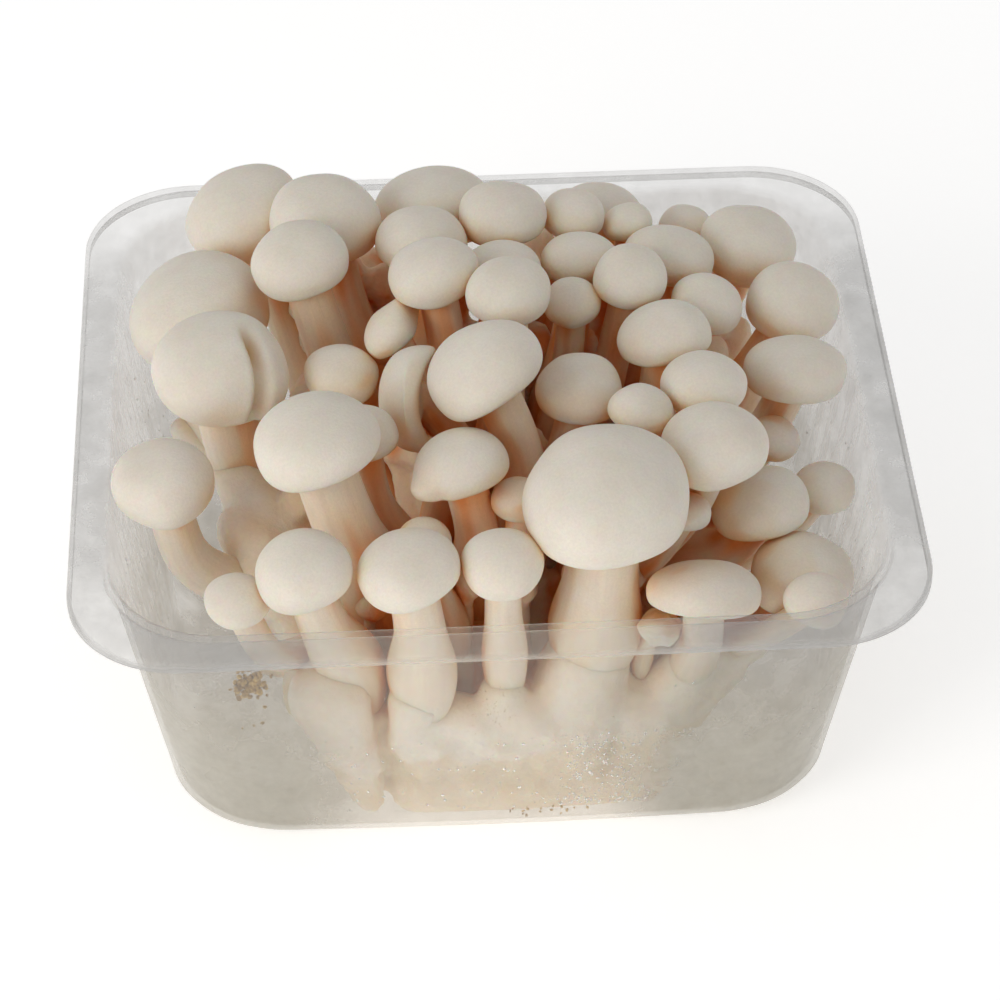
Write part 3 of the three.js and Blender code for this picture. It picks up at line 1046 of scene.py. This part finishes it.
# Thick roots and hidden young ones between the outer stems, clear of the rooms beside the bunch.
OUTER_SWELLS = (
    Swell((-56.5, 15.5, 40.5), 3.2, (-44.0, 12.0, 34.0), 4.5),
    Swell((48.5, 30.5, 47.0), 4.2, (38.0, 26.0, 33.0), 4.8),
    Swell((38.0, 26.0, 33.0), 4.8, (28.0, 20.0, 18.0), 5.5),
    Swell((49.5, 11.5, 45.5), 3.6, (38.0, 12.0, 33.0), 4.4),
    Swell((38.0, 12.0, 33.0), 4.4, (29.0, 12.0, 18.0), 5.5),
    Swell((-21.0, 49.5, 52.5), 4.2, (-17.0, 33.0, 37.0), 2.8),
    Swell((-17.0, 33.0, 37.0), 2.8, (-13.0, 26.0, 20.0), 4.0),
    Swell((13.0, 50.0, 57.0), 3.2, (9.0, 34.0, 38.0), 2.8),
    Swell((9.0, 34.0, 38.0), 2.8, (7.0, 26.0, 20.0), 4.0),
    Swell((-46.0, -6.0, 46.0), 5.0, (-36.0, -17.0, 29.5), 6.2),
    Swell((-46.0, -16.0, 42.0), 4.8, (-35.0, -24.0, 28.0), 5.8),
    Swell((-44.5, -24.0, 38.0), 4.4, (-34.0, -30.0, 27.5), 5.2),
    Swell((-43.0, -11.0, 42.0), 6.4, (-33.5, -21.0, 28.0), 7.4),
    Swell((-42.0, -19.5, 38.5), 6.0, (-32.5, -26.0, 27.0), 7.0),
)


@dataclass(frozen=True)
class YoungRow:
    """A row of young mushrooms: how many, where the first and last stand and reach, and how thick; mm."""

    count: int
    foot_from: Place
    foot_to: Place
    top_from: Place
    top_to: Place
    least: float
    most: float


YOUNG_ROWS = (
    YoungRow(10, (-28, 28, 14), (28, 28, 14), (-36, 41, 53), (36, 41, 50), 2.6, 3.3),
    YoungRow(9, (-27, 22, 12), (27, 24, 12), (-36, 34, 44), (34, 35, 41), 2.3, 3.2),
    YoungRow(9, (-22, 16, 15), (24, 17, 15), (-30, 28, 47), (30, 27, 44), 2.3, 3.2),
    YoungRow(7, (-31, -14, 17), (-30, 16, 15), (-43, -14, 38), (-43, 24, 40), 2.4, 3.3),
    YoungRow(6, (-24, -14, 19), (-22, 14, 17), (-35, -15, 47), (-33, 18, 48), 2.2, 3),
    YoungRow(5, (30, 6, 16), (29, 24, 14), (43, 6, 49), (42, 30, 49), 3, 3.6),
    YoungRow(7, (31, -14, 17), (28, 20, 14), (45, -17, 36), (45, 26, 39), 2.4, 3.2),
    YoungRow(6, (23, -12, 19), (20, 14, 17), (36, -14, 44), (33, 18, 46), 2.2, 3),
    YoungRow(7, (-16, -8, 20), (18, -6, 20), (-22, -3, 48), (24, -2, 47), 2, 2.8),
    YoungRow(6, (-24, -34, 20), (24, -32, 20), (-26, -36, 43), (29, -34, 43), 1.9, 2.6),
)


@dataclass
class Base:
    """The fused foot of the clump: the stems' feet, grown into one lumpy body with a cut underside."""

    feet: list[Skeleton]
    tray: "Tray"
    rooms: Rooms
    voxel: float = 0.9 * MM
    smoothing: int = 9
    lump_count: int = 70
    lump_seed: int = 31
    young_seed: int = 47
    skirt_count: int = 46
    skirt_seed: int = 23
    drawn_in: float = 0.95
    cut_height: float = 17.5 * MM
    floor_top: float = 0.95 * MM
    wall_gap: float = 0.7 * MM
    wall_softness: float = 1.6 * MM

    @staticmethod
    def tube(line: Array, sizes: Array, around: int = 14) -> Body:
        """A closed round body along a line.

        Args:
            line: the places of its rows.
            sizes: the radius at each row.
            around: points in a row.

        Returns:
            Its points and faces.
        """
        ways = unit_rows(np.gradient(line, axis=0))
        helper = ALONG_Y if abs(ways[:, 1]).max() < 0.9 else ALONG_X
        turn = np.linspace(0, 2 * math.pi, around, endpoint=False)
        rows = ring_points(line, across(ways, helper), sizes[:, None], turn)
        start, end = line[0] - ways[0] * sizes[0] * 0.15, line[-1] + ways[-1] * sizes[-1] * 0.15
        return np.vstack([start, rows.reshape(-1, 3), end]), ring_faces(len(line), around)

    def swelling(self, start: Array, start_size: float, end: Array, end_size: float) -> Body:
        """A tapered body with round ends.

        Args:
            start: centre of the first ball.
            start_size: its radius.
            end: centre of the last ball.
            end_size: its radius.

        Returns:
            Its points and faces.
        """
        way = unit(end - start)
        line, sizes = [], []
        for a in np.linspace(-1.35, 0.0, 5):
            line.append(start + way * start_size * math.sin(a))
            sizes.append(start_size * math.cos(a))
        line.append((start + end) / 2)
        sizes.append((start_size + end_size) / 2)
        for a in np.linspace(0.0, 1.35, 5):
            line.append(end + way * end_size * math.sin(a))
            sizes.append(end_size * math.cos(a))
        return self.tube(np.array(line), np.array(sizes))

    def root(self, s: Skeleton) -> Body:
        """A thick root from a stem's belly down into the clump.

        Args:
            s: the mushroom that stands on it.

        Returns:
            Its points and faces.
        """
        belly = float(s.girths[2])
        deep = s.foot * np.array([0.88, 0.92, 0.0]) + np.array([0, 0, 5.0 * MM])
        line = np.array([s.centres[1], s.centres[0], s.foot, s.foot * 0.5 + deep * 0.5, deep])
        return self.tube(line, belly * np.array([0.86, 0.95, 1.08, 1.22, 1.05]))

    def young(self) -> list[Body]:
        """Small mushrooms that never rose above their neighbours, low between the stems.

        Returns:
            The points and faces of their stems and heads.
        """
        draw = np.random.default_rng(self.young_seed)
        found = []
        for row in YOUNG_ROWS:
            foot_from, foot_to = np.array(row.foot_from), np.array(row.foot_to)
            top_from, top_to = np.array(row.top_from), np.array(row.top_to)
            for k in range(row.count):
                t = (k + draw.uniform(0.2, 0.8)) / row.count
                foot = (foot_from + (foot_to - foot_from) * t + draw.normal(size=3) * 0.8) * MM
                top = (top_from + (top_to - top_from) * t + draw.normal(size=3) * (0.9, 0.9, 2.2)) * MM
                thick = draw.uniform(row.least, row.most) * MM
                steps = np.linspace(0, 1, 7)[:, None]
                line = foot + (top - foot) * steps
                line[:, 2] += 2.5 * MM * np.sin(math.pi * steps[:, 0])
                found.append(self.tube(line, thick * np.array([1.35, 1.2, 1.1, 1.0, 0.92, 0.86, 0.8])))
                way = unit(line[-1] - line[-2])
                found.append(self.swelling(top, thick * 1.5, top + way * 1.3 * MM, thick * 1.15))
        return found

    def core(self) -> Body:
        """The clump's middle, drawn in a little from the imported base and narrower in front.

        Returns:
            Its points and faces.
        """
        node = frame["nodes"]["base_clump"].data
        place = np.array([v.co for v in node.vertices])
        middle = place.mean(axis=0)
        place = middle + (place - middle) * self.drawn_in
        front = smoothstep(-place[:, 1], 24 * MM, 50 * MM)
        place[:, 0] = (place[:, 0] + 3.5 * MM * front) * (1 - 0.34 * front)
        place[:, 2] *= 1 - 0.2 * front
        return place, [tuple(p.vertices) for p in node.polygons]

    def skirt(self) -> list[Body]:
        """Low flesh that spreads over the tray's floor behind the clump and beside it.

        Returns:
            The points and faces of its swellings.
        """
        draw = np.random.default_rng(self.skirt_seed)
        found = []
        for _ in range(self.skirt_count):
            angle = draw.uniform(-0.35, math.pi + 0.35)
            share = draw.uniform(0.72, 0.93)
            spot = np.array([math.cos(angle) * 46 * share, math.sin(angle) * 44 * share, 0.0]) * MM
            spot[2] = draw.uniform(1.0, 3.5) * MM
            size = draw.uniform(3.5, 5.5) * MM
            far = spot + np.array([draw.uniform(-4, 4), draw.uniform(-4, 4), 0.5]) * MM
            found.append(self.swelling(spot, size, far, size * 0.8))
        return found

    def knobs(self) -> list[Body]:
        """Small lumps round the side of the clump.

        Returns:
            Their points and faces.
        """
        found = []
        low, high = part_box("base_clump")
        centre, half = (np.array(low) + np.array(high)) / 2, (np.array(high) - np.array(low)) / 2
        draw = np.random.default_rng(self.lump_seed)
        for _ in range(self.lump_count):
            angle = draw.uniform(0, 2 * math.pi)
            way = np.array([math.cos(angle), math.sin(angle)])
            far = (abs(way[0]) ** 2.5 + abs(way[1]) ** 2.5) ** (-1 / 2.5)
            size = draw.uniform(1.8, 4.2) * MM
            narrowed = 0.70 if way[1] < -0.5 else 1.0
            place = np.array([
                centre[0] + way[0] * far * (half[0] * narrowed - 3.8 * MM),
                centre[1] + way[1] * far * (half[1] - 3.8 * MM),
                draw.uniform(2.0, 17.0) * MM,
            ])
            found.append(self.swelling(place, size, place + draw.normal(size=3) * 1.5 * MM, size * 0.8))
        return found

    def parts(self) -> list[Body]:
        """Everything that is fused into the clump.

        Returns:
            The points and faces of each part.
        """
        found = [self.core()]
        found += [self.root(s) for s in self.feet]
        for swell in FRONT_SWELLS + OUTER_SWELLS:
            ends = np.array(swell.start) * MM, np.array(swell.end) * MM
            found.append(self.swelling(ends[0], swell.start_size * MM, ends[1], swell.end_size * MM))
        return found + self.young() + self.skirt() + self.knobs()

    def inside(self, aside: Array, z: Array, axis: int) -> Array:
        """Holds places inside the tray's leaning walls, easing in as they come near.

        Args:
            aside: the places along X or Y.
            z: their heights.
            axis: 0 for X, 1 for Y.

        Returns:
            The places, all a little inside the wall.
        """
        tray = self.tray
        inner = tray.fillet - tray.sheet
        curl = np.clip(tray.fillet - z, 0.0, inner)
        round_off = inner - np.sqrt(inner**2 - curl**2)
        limit = tray.half[axis] - tray.wall(z) - tray.sheet - self.wall_gap - round_off
        room = limit - np.abs(aside)
        eased = 0.5 * (room + np.sqrt(room**2 + self.wall_softness**2))
        return np.sign(aside) * (limit - np.maximum(eased, 0.0)).clip(0.0, None)

    def build(self) -> bpy.types.Object:
        """Fuses the parts into one skin.

        Returns:
            The clump as an object.
        """
        heap = Heap()
        for part in self.parts():
            heap.add(*part)
        raw = new_piece("base_raw", heap.points, heap.faces)
        remesh = raw.modifiers.new("fuse", "REMESH")
        remesh.mode = "VOXEL"
        remesh.voxel_size = self.voxel
        smooth = raw.modifiers.new("soften", "SMOOTH")
        smooth.factor = 0.5
        smooth.iterations = self.smoothing
        bpy.context.view_layer.update()
        graph = bpy.context.evaluated_depsgraph_get()
        mesh = bpy.data.meshes.new_from_object(raw.evaluated_get(graph))
        bpy.data.objects.remove(raw)
        mesh.name = "base_clump_flesh"
        place = np.array([v.co for v in mesh.vertices])
        normal = np.array([v.normal for v in mesh.vertices])
        rough = 0.32 * MM * lumps(place, 71, 5.5 * MM) + 0.13 * MM * lumps(place, 72, 1.9 * MM)
        rough *= 0.35 + 0.65 * smoothstep(place[:, 2], 27 * MM, 18 * MM)
        place += normal * rough[:, None]
        for axis in (0, 1):
            place[:, axis] = self.inside(place[:, axis], place[:, 2], axis)
        place[:, 2] = np.maximum(place[:, 2], self.floor_top)
        place = self.rooms.push_out(place)
        mesh.vertices.foreach_set("co", place.astype(np.float32).ravel())
        mesh.polygons.foreach_set("use_smooth", [True] * len(mesh.polygons))
        mesh.materials.clear()
        mesh.update()
        piece = bpy.data.objects.new("base_clump_flesh", mesh)
        dress(piece, "clump_flesh")
        bpy.context.scene.collection.objects.link(piece)
        store(piece, "grain", place * 100.0)
        edge = self.cut_height + 1.5 * MM * lumps(place, 74, 9 * MM)
        cut = smoothstep(place[:, 2], edge, edge - 2.5 * MM)
        mottle = smoothstep(lumps(place, 73, 7 * MM), -0.6, 1.0)
        store(piece, "bruise", cut * (0.72 + 0.28 * mottle))
        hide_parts("base_clump")
        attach(piece, BODY)
        return piece


# ------------------------------------------------------------------------------------------ tray
Step = tuple[int, float, float]
Level = tuple[float, float, float, float, float]


@dataclass
class Tray:
    """The clear tray, a thin formed sheet with a flange, a turned-down lip and flutes in the short walls."""

    sheet: float = 0.8 * MM
    flange: float = 6.6 * MM
    lip_drop: float = 1.8 * MM
    taper: float = 8.8 * MM
    fillet: float = 7.0 * MM
    corner: float = 20.0 * MM
    bow: float = 0.9 * MM
    rib_depth: float = 0.6 * MM
    ribs: int = 9
    corner_steps: int = 18
    short_steps: int = 126
    long_steps: int = 30
    turn_in: float = 1.4 * MM
    flange_veil: float = 0.40
    front_veil: float = 0.10
    other_veil: float = 0.27
    fold_veil: float = 0.30

    def __post_init__(self) -> None:
        """Reads the outer size from the frame."""
        low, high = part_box("tray")
        self.half = np.array([(high.x - low.x) / 2, (high.y - low.y) / 2])
        self.height = float(high.z - low.z)

    def steps(self) -> list[Step]:
        """The outline's steps.

        Returns:
            For each: the corner, the angle and the share along the wall after it.
        """
        found = []
        for corner in range(4):
            for i in range(self.corner_steps + 1):
                found.append((corner, (corner + i / self.corner_steps) * math.pi / 2, 0.0))
            count = self.long_steps if corner % 2 == 0 else self.short_steps
            for i in range(1, count):
                found.append((corner, (corner + 1) * math.pi / 2, i / count))
        return found

    def point(self, step: Step, inset: float, z: float, bow: float, rib: float) -> Array:
        """One point of an outline.

        Args:
            step: the outline's step.
            inset: distance inside the rim.
            z: height.
            bow: how far the wall bellies out at its middle.
            rib: depth of the flutes here.

        Returns:
            The place.
        """
        corner, angle, along = step
        x, y = self.half - inset - self.corner
        spots = [(x, y), (-x, y), (-x, -y), (x, -y)]
        a, b = spots[corner], spots[(corner + 1) % 4]
        push = self.corner + bow * math.sin(along * math.pi)
        if corner % 2 == 1 and along > 0:
            push -= rib * (0.5 - 0.5 * math.cos(2 * math.pi * self.ribs * along))
        return np.array([
            a[0] + (b[0] - a[0]) * along + math.cos(angle) * push,
            a[1] + (b[1] - a[1]) * along + math.sin(angle) * push,
            z,
        ])

    def wall(self, z: float) -> float:
        """Inset of the wall's outer face at a height."""
        return self.flange + self.taper * (1.0 - z / self.height)

    @staticmethod
    def quarter(count: int) -> list[tuple[float, float, float]]:
        """A quarter circle in equal steps.

        Args:
            count: how many steps.

        Returns:
            For each place: its share of the way, and the sine and cosine of its angle.
        """
        turns = [(i / count, i / count * math.pi / 2) for i in range(count + 1)]
        return [(share, math.sin(a), math.cos(a)) for share, a in turns]

    def section(self) -> list[Level]:
        """The sheet's section, up its outer face, round the rim and down its inner face.

        Returns:
            For each level: inset, height, share of the bow, share of the flutes, share of rim.
        """
        rows: list[Level] = []
        foot, under = self.wall(self.fillet), self.height - self.sheet
        for _, sin, cos in self.quarter(6):
            rows.append((foot + self.fillet * (1 - sin), self.fillet * (1 - cos), sin, 0.0, 0.0))
        spans = [(self.fillet + 2 * MM, 0.4), (self.fillet + 5 * MM, 1.0)]
        spans += [(z * MM, 1.0) for z in range(16, 50, 4)]
        spans += [(under - 6 * MM, 1.0), (under - 3.5 * MM, 0.45)]
        rows += [(self.wall(z), z, 1.0, rib, 0.0) for z, rib in spans]
        for share, sin, cos in self.quarter(4):
            inset, drop = self.turn_in * (1 - cos), self.turn_in * (1 - sin)
            rows.append((self.flange - inset, under - drop, 0.3 * (1 - share), 0.0, share))
        edge, lip = self.sheet * 0.9, under - self.lip_drop
        rim = [
            (edge + 1.2 * MM, under), (edge, under - 0.3 * MM), (edge, lip), (0.3 * MM, lip),
            (0.0, lip + 0.3 * MM), (0.0, self.height - 0.8 * MM), (0.25 * MM, self.height - 0.25 * MM),
            (0.8 * MM, self.height), (self.flange - 1.6 * MM, self.height),
        ]
        rows += [(inset, z, 0.0, 0.0, 1.0) for inset, z in rim]
        for share, sin, cos in self.quarter(4):
            inset, drop = self.turn_in * (1 - sin), self.turn_in * (1 - cos)
            inset = self.flange + self.sheet - inset
            rows.append((inset, self.height - drop, 0.3 * share, 0.0, 1 - share))
        rows += [(self.wall(z) + self.sheet, z, 1.0, rib, 0.0) for z, rib in reversed(spans)]
        inner = self.fillet - self.sheet
        for _, sin, cos in reversed(self.quarter(6)):
            inset = foot + self.sheet + inner * (1 - sin)
            rows.append((inset, self.sheet + inner * (1 - cos), sin, 0.0, 0.0))
        return rows

    def veil(self, place: Array, rim: Array) -> tuple[Array, Array, Array]:
        """How much of what is behind one face of the sheet is veiled, and in what colour.

        The mist is thin where flesh lies against the front wall, and thick in the corners beside it.

        Args:
            place: the sheet's points.
            rim: the share of flange at each point.

        Returns:
            The veil, the share of painted glow from the flesh low on the walls and the share of painted
            light in front of the flesh, at each point, from 0 to 1.
        """
        x, y, z = place.T
        low = smoothstep(z, 46 * MM, 18 * MM)
        front = smoothstep(-y, 42 * MM, 50 * MM)
        back = smoothstep(y, 30 * MM, 60 * MM)
        beside = smoothstep(np.abs(x + 3 * MM), 18 * MM, 38 * MM)
        wall = self.front_veil + 0.07 * beside + low * (0.09 + 0.25 * beside)
        other = self.other_veil + 0.12 * low
        cleared = 0.82 * front * (1 - beside) + 0.35 * front * beside + 0.6 * back
        flange = self.flange_veil * (1 - cleared)
        veil = (wall * front + other * (1 - front)) * (1 - rim) + flange * rim
        lip = smoothstep(z, self.height - 1.0 * MM, self.height - 1.6 * MM) * rim * (rim > 0.99)
        veil += self.fold_veil * front * np.maximum(bump_at(rim, 0.5, 0.2), lip)
        # Painted light: the lower walls take a warmer tint, less at the back, and the front before the flesh
        # a pale tint, for the flesh's light in the mist.
        warmth = smoothstep(z, 58 * MM, 34 * MM) * (1 - 0.6 * back)
        return veil, warmth, front * (1 - beside)

    def build(self) -> bpy.types.Object:
        """Makes the tray.

        Returns:
            The tray as an object.
        """
        steps, section = self.steps(), self.section()
        points, rim = [np.zeros(3)], [0.0]
        for inset, z, bow, rib, share in section:
            points += [self.point(s, inset, z, bow * self.bow, rib * self.rib_depth) for s in steps]
            rim += [share] * len(steps)
        points.append(np.array([0.0, 0.0, self.sheet]))
        rim.append(0.0)
        place = np.array(points)
        piece = new_piece("tray_sheet", place, ring_faces(len(section), len(steps)))
        for name, values in zip(("veil", "warmth", "haze"), self.veil(place, np.array(rim))):
            store(piece, name, values)
        dress(piece, "clear_sheet")
        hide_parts("tray")
        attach(piece, BODY)
        return piece

    def inner_place(self, step: Step, z: float) -> tuple[Array, Array]:
        """A place on the inner face of the wall.

        Args:
            step: the outline's step.
            z: height.

        Returns:
            The place, and the way into the tray there.
        """
        at = self.point(step, self.wall(z) + self.sheet, z, self.bow, 0.0)
        near = self.point(step, self.wall(z) + self.sheet + 1 * MM, z, self.bow, 0.0)
        return at, unit(near - at)


@dataclass
class Droplets:
    """Beads of water on the inside of the walls, thickest near the foot of the front one."""

    tray: Tray
    count: int = 2000
    sides: int = 8
    seed: int = 5

    def build(self) -> bpy.types.Object:
        """Makes all the beads as one piece.

        Returns:
            The piece.
        """
        draw = np.random.default_rng(self.seed)
        steps = self.tray.steps()
        heap = Heap()
        front = [s for s in steps if s[0] == 2 and s[2] > 0]
        thick = [s for s in front if 0.62 < s[2] < 0.92]
        for _ in range(self.count):
            if draw.random() < 0.35:
                step = steps[int(draw.integers(len(steps)))]
                z = (9.0 + 38.0 * draw.random() ** 1.6) * MM
            else:
                chosen = thick if draw.random() < 0.75 else front
                step = chosen[int(draw.integers(len(chosen)))]
                step = (step[0], step[1], step[2] + draw.uniform(-0.5, 0.5) / len(front))
                z = (8.0 + 20.0 * draw.random() ** 1.4) * MM
            at, inward = self.tray.inner_place(step, z)
            size = (0.09 + 0.24 * draw.random() ** 3) * MM
            heap.add(self.bead(at, inward, size), ring_faces(3, self.sides))
        piece = new_piece("mist_beads", heap.points, heap.faces)
        dress(piece, "dew")
        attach(piece, BODY)
        return piece

    def bead(self, at: Array, inward: Array, size: float) -> list[Array]:
        """One flattened bead.

        Args:
            at: its middle on the wall.
            inward: the way into the tray.
            size: its radius.

        Returns:
            Its points.
        """
        side = unit(np.cross(inward, [0.0, 0.0, 1.0]))
        up = np.cross(side, inward)
        points = [at - inward * 0.05 * MM]
        for share, lift in ((1.0, 0.0), (0.78, 0.38), (0.4, 0.58)):
            for k in range(self.sides):
                a = 2 * math.pi * k / self.sides
                round_it = math.cos(a) * side + math.sin(a) * up
                points.append(at + size * (share * round_it + lift * inward))
        points.append(at + size * 0.64 * inward)
        return points


@dataclass(frozen=True)
class Scatter:
    """A patch of crumbs: how many, its middle, how far it spreads, and their sizes; lengths in mm."""

    count: int
    middle: Place
    spread: Place
    least: float
    most: float


CRUMB_PATCHES = (
    Scatter(95, (-44.1, -58.1, 42.4), (1.2, 0.4, 1.35), 0.4, 1.35),
    Scatter(22, (-43.8, -58.3, 42.0), (1.9, 0.3, 2.0), 0.3, 0.9),
    Scatter(16, (8.0, -53.3, 4.2), (5.5, 0.25, 0.6), 0.25, 0.7),
    Scatter(9, (41.0, -51.6, 9.5), (4.0, 0.25, 1.6), 0.25, 0.65),
    Scatter(46, (-1.0, -58.6, 35.0), (3.4, 0.15, 3.0), 0.10, 0.22),
    Scatter(12, (22.0, -56.5, 27.0), (4.0, 0.2, 4.0), 0.10, 0.25),
    Scatter(30, (0.0, 42.0, 2.0), (26.0, 3.0, 0.3), 0.3, 0.9),
    Scatter(18, (-46.0, 0.0, 2.0), (2.0, 20.0, 0.3), 0.3, 0.8),
    Scatter(18, (46.0, 4.0, 2.0), (2.0, 20.0, 0.3), 0.3, 0.8),
)


@dataclass
class Crumbs:
    """Dry crumbs of growing medium: a tuft of husk by one stem, specks on the wall, bits on the floor."""

    tray: Tray
    rooms: Rooms
    around: int = 6
    rows: int = 3
    seed: int = 9

    def build(self) -> bpy.types.Object:
        """Makes all the crumbs as one piece.

        Returns:
            The piece.
        """
        draw = np.random.default_rng(self.seed)
        heap = Heap()
        for patch in CRUMB_PATCHES:
            for _ in range(patch.count):
                at = (np.array(patch.middle) + draw.normal(size=3) * np.array(patch.spread)) * MM
                crumb = self.crumb(draw, at, patch)
                if not self.rooms.hold(crumb):
                    heap.add(crumb, ring_faces(self.rows, self.around))
        piece = new_piece("crumbs", heap.points, heap.faces)
        dress(piece, "husk")
        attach(piece, BODY)
        return piece

    def crumb(self, draw: np.random.Generator, at: Array, patch: Scatter) -> Array:
        """The points of one jagged crumb.

        Args:
            draw: the source of chance.
            at: its middle.
            patch: the patch that it belongs to.

        Returns:
            Its points.
        """
        size = draw.uniform(patch.least, patch.most, 3) * MM * 0.6
        spin = Matrix.Rotation(draw.uniform(0, 6.28), 3, Vector(draw.normal(size=3)).normalized())
        shape = [[0, 0, -1.0]]
        for b in np.linspace(-1.57, 1.57, self.rows + 2)[1:-1]:
            for a in np.linspace(0, 2 * math.pi, self.around, endpoint=False):
                jag = draw.uniform(0.7, 1.15)
                x, y = math.cos(b) * math.cos(a) * jag, math.cos(b) * math.sin(a) * jag
                shape.append([x, y, math.sin(b)])
        shape.append([0, 0, 1.0])
        turned = (np.array(shape) * size) @ np.array(spin).T + at
        turned[:, 2] = np.maximum(turned[:, 2], self.tray.sheet + 0.02 * MM)
        return turned


# ------------------------------------------------------------------------------------------ shelter
@dataclass
class Shelter:
    """How hidden from the sky each spot of the bunch is, measured by rays against the bunch itself; the
    flesh finishes paint shade from it.
    """

    pieces: list[bpy.types.Object]
    rays: int = 22
    reach: float = 30.0 * MM
    lift: float = 0.4 * MM
    grazing: float = 0.15
    lowest: float = -0.35
    downward: float = 0.6  # the share for a spot that has no ray

    def _ways(self) -> list[Vector]:
        """Directions spread evenly over a ball.

        Returns:
            The directions.
        """
        golden = math.pi * (3 - math.sqrt(5))
        ways = []
        for k in range(self.rays):
            z = 1 - 2 * (k + 0.5) / self.rays
            side = math.sqrt(1 - z * z)
            ways.append(Vector((side * math.cos(k * golden), side * math.sin(k * golden), z)))
        return ways

    def measure(self) -> None:
        """Stores the share of blocked rays at each vertex as the attribute shelter, which drives the painted
        shade.
        """
        heap = Heap()
        for piece in self.pieces:
            mesh = piece.data
            heap.add([v.co.copy() for v in mesh.vertices], [tuple(p.vertices) for p in mesh.polygons])
        tree = BVHTree.FromPolygons(heap.points, heap.faces)
        ways = self._ways()
        for piece in self.pieces:
            mesh = piece.data
            shares = np.zeros(len(mesh.vertices))
            for k, vertex in enumerate(mesh.vertices):
                normal = vertex.normal
                start = vertex.co + normal * self.lift
                open_ways = [w for w in ways if w.dot(normal) > self.grazing and w.z > self.lowest]
                if not open_ways:
                    shares[k] = self.downward
                    continue
                blocked = sum(tree.ray_cast(start, w, self.reach)[0] is not None for w in open_ways)
                shares[k] = blocked / len(open_ways)
            store(piece, "shelter", self._soften(mesh, shares))

    @staticmethod
    def _soften(mesh: bpy.types.Mesh, shares: Array, times: int = 6) -> Array:
        """Evens the shares out over neighbouring vertices.

        Args:
            mesh: the mesh.
            shares: a share for each vertex.
            times: how often they are evened out.

        Returns:
            The softened shares.
        """
        edges = np.array([e.vertices for e in mesh.edges])
        count = np.bincount(edges.ravel(), minlength=len(shares)).astype(float)
        for _ in range(times):
            total = np.bincount(edges[:, 0], shares[edges[:, 1]], len(shares))
            total += np.bincount(edges[:, 1], shares[edges[:, 0]], len(shares))
            shares = 0.4 * shares + 0.6 * total / np.maximum(count, 1)
        return shares


# ------------------------------------------------------------------------------------------ studio
@dataclass
class Studio:
    """Camera, soft lights and a plain floor."""

    azimuth: float = -2.7
    elevation: float = 40.0
    roll: float = 0.46
    distance: float = 0.700
    target: tuple[float, float, float] = (0.0025, 0.0040, 0.0300)
    lens: float = 133.2
    key_place: Place = (-0.62, -0.55, 0.48)
    key_size: float = 0.45
    key_power: float = 2.6
    key_colour: Place = (1.0, 0.975, 0.94)
    sky_colour: Colour = (1.0, 0.995, 0.985, 1.0)
    sky_strength: float = 0.49
    floor_half: float = 1.6

    def camera(self) -> None:
        """Places the camera at the viewing angle."""
        a, e = math.radians(self.azimuth), math.radians(self.elevation)
        back = Vector((math.sin(a) * math.cos(e), -math.cos(a) * math.cos(e), math.sin(e)))
        data = bpy.data.cameras.new("camera")
        data.lens = self.lens
        data.sensor_width = 36.0
        data.clip_end = 20.0
        camera = bpy.data.objects.new("camera", data)
        spin = Matrix.Rotation(math.radians(-self.roll), 4, back)
        camera.matrix_world = spin @ back.to_track_quat("Z", "Y").to_matrix().to_4x4()
        camera.location = Vector(self.target) + back * self.distance
        bpy.context.scene.collection.objects.link(camera)
        bpy.context.scene.camera = camera

    def light(self) -> None:
        """Sets the soft key lamp, which faces the bunch, the sky and how bright tones are shown."""
        data = bpy.data.lights.new("key", "AREA")
        data.size = self.key_size
        data.energy = self.key_power
        data.color = self.key_colour
        lamp = bpy.data.objects.new("key", data)
        way = Vector(self.key_place) - Vector((0.0, 0.0, 0.045))
        lamp.matrix_world = way.to_track_quat("Z", "Y").to_matrix().to_4x4()
        lamp.location = self.key_place
        bpy.context.scene.collection.objects.link(lamp)
        world = bpy.data.worlds.new("sky")
        world.use_nodes = True
        sky = world.node_tree.nodes["Background"].inputs
        sky["Color"].default_value = self.sky_colour
        sky["Strength"].default_value = self.sky_strength
        bpy.context.scene.world = world
        bpy.context.scene.view_settings.view_transform = "Standard"

    def floor(self) -> None:
        """Lays the floor under the tray."""
        h = self.floor_half
        mesh = bpy.data.meshes.new("floor")
        mesh.from_pydata([(-h, -h, 0), (h, -h, 0), (h, h, 0), (-h, h, 0)], [], [(0, 1, 2, 3)])
        floor = bpy.data.objects.new("floor", mesh)
        dress(floor, "pale_floor")
        floor.location.z = -0.0002
        bpy.context.scene.collection.objects.link(floor)


def report(piece: bpy.types.Object) -> bpy.types.Object:
    """Logs a piece that has been built, and hands it on."""
    LOG.info("%s: %d vertices", piece.name, len(piece.data.vertices))
    return piece


def main() -> None:
    """Builds the finishes, the bunch, the tray and the studio."""
    logging.basicConfig(level=logging.INFO, format="%(message)s")
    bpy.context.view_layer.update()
    for finish in FINISHES:
        finish.material()
    rooms = Rooms.read()
    names = sorted(n for n in frame["nodes"] if n not in ("tray", "base_clump"))
    skeletons = [Skeleton.read(frame["nodes"][name]) for name in names]
    grown = []
    for number, (name, skeleton) in enumerate(zip(names, skeletons)):
        kind = CAP_KINDS.get(name, CapKind.ROUND)
        grown.append(report(Mushroom(name, skeleton, FIRST_SEED + number, kind, rooms).build()))
    tray = Tray()
    base = report(Base(skeletons, tray, rooms).build())
    Shelter([*grown, base]).measure()
    for maker in (tray, Droplets(tray), Crumbs(tray, rooms)):
        report(maker.build())
    studio = Studio()
    studio.camera()
    studio.light()
    studio.floor()


if __name__ == "__main__":
    main()
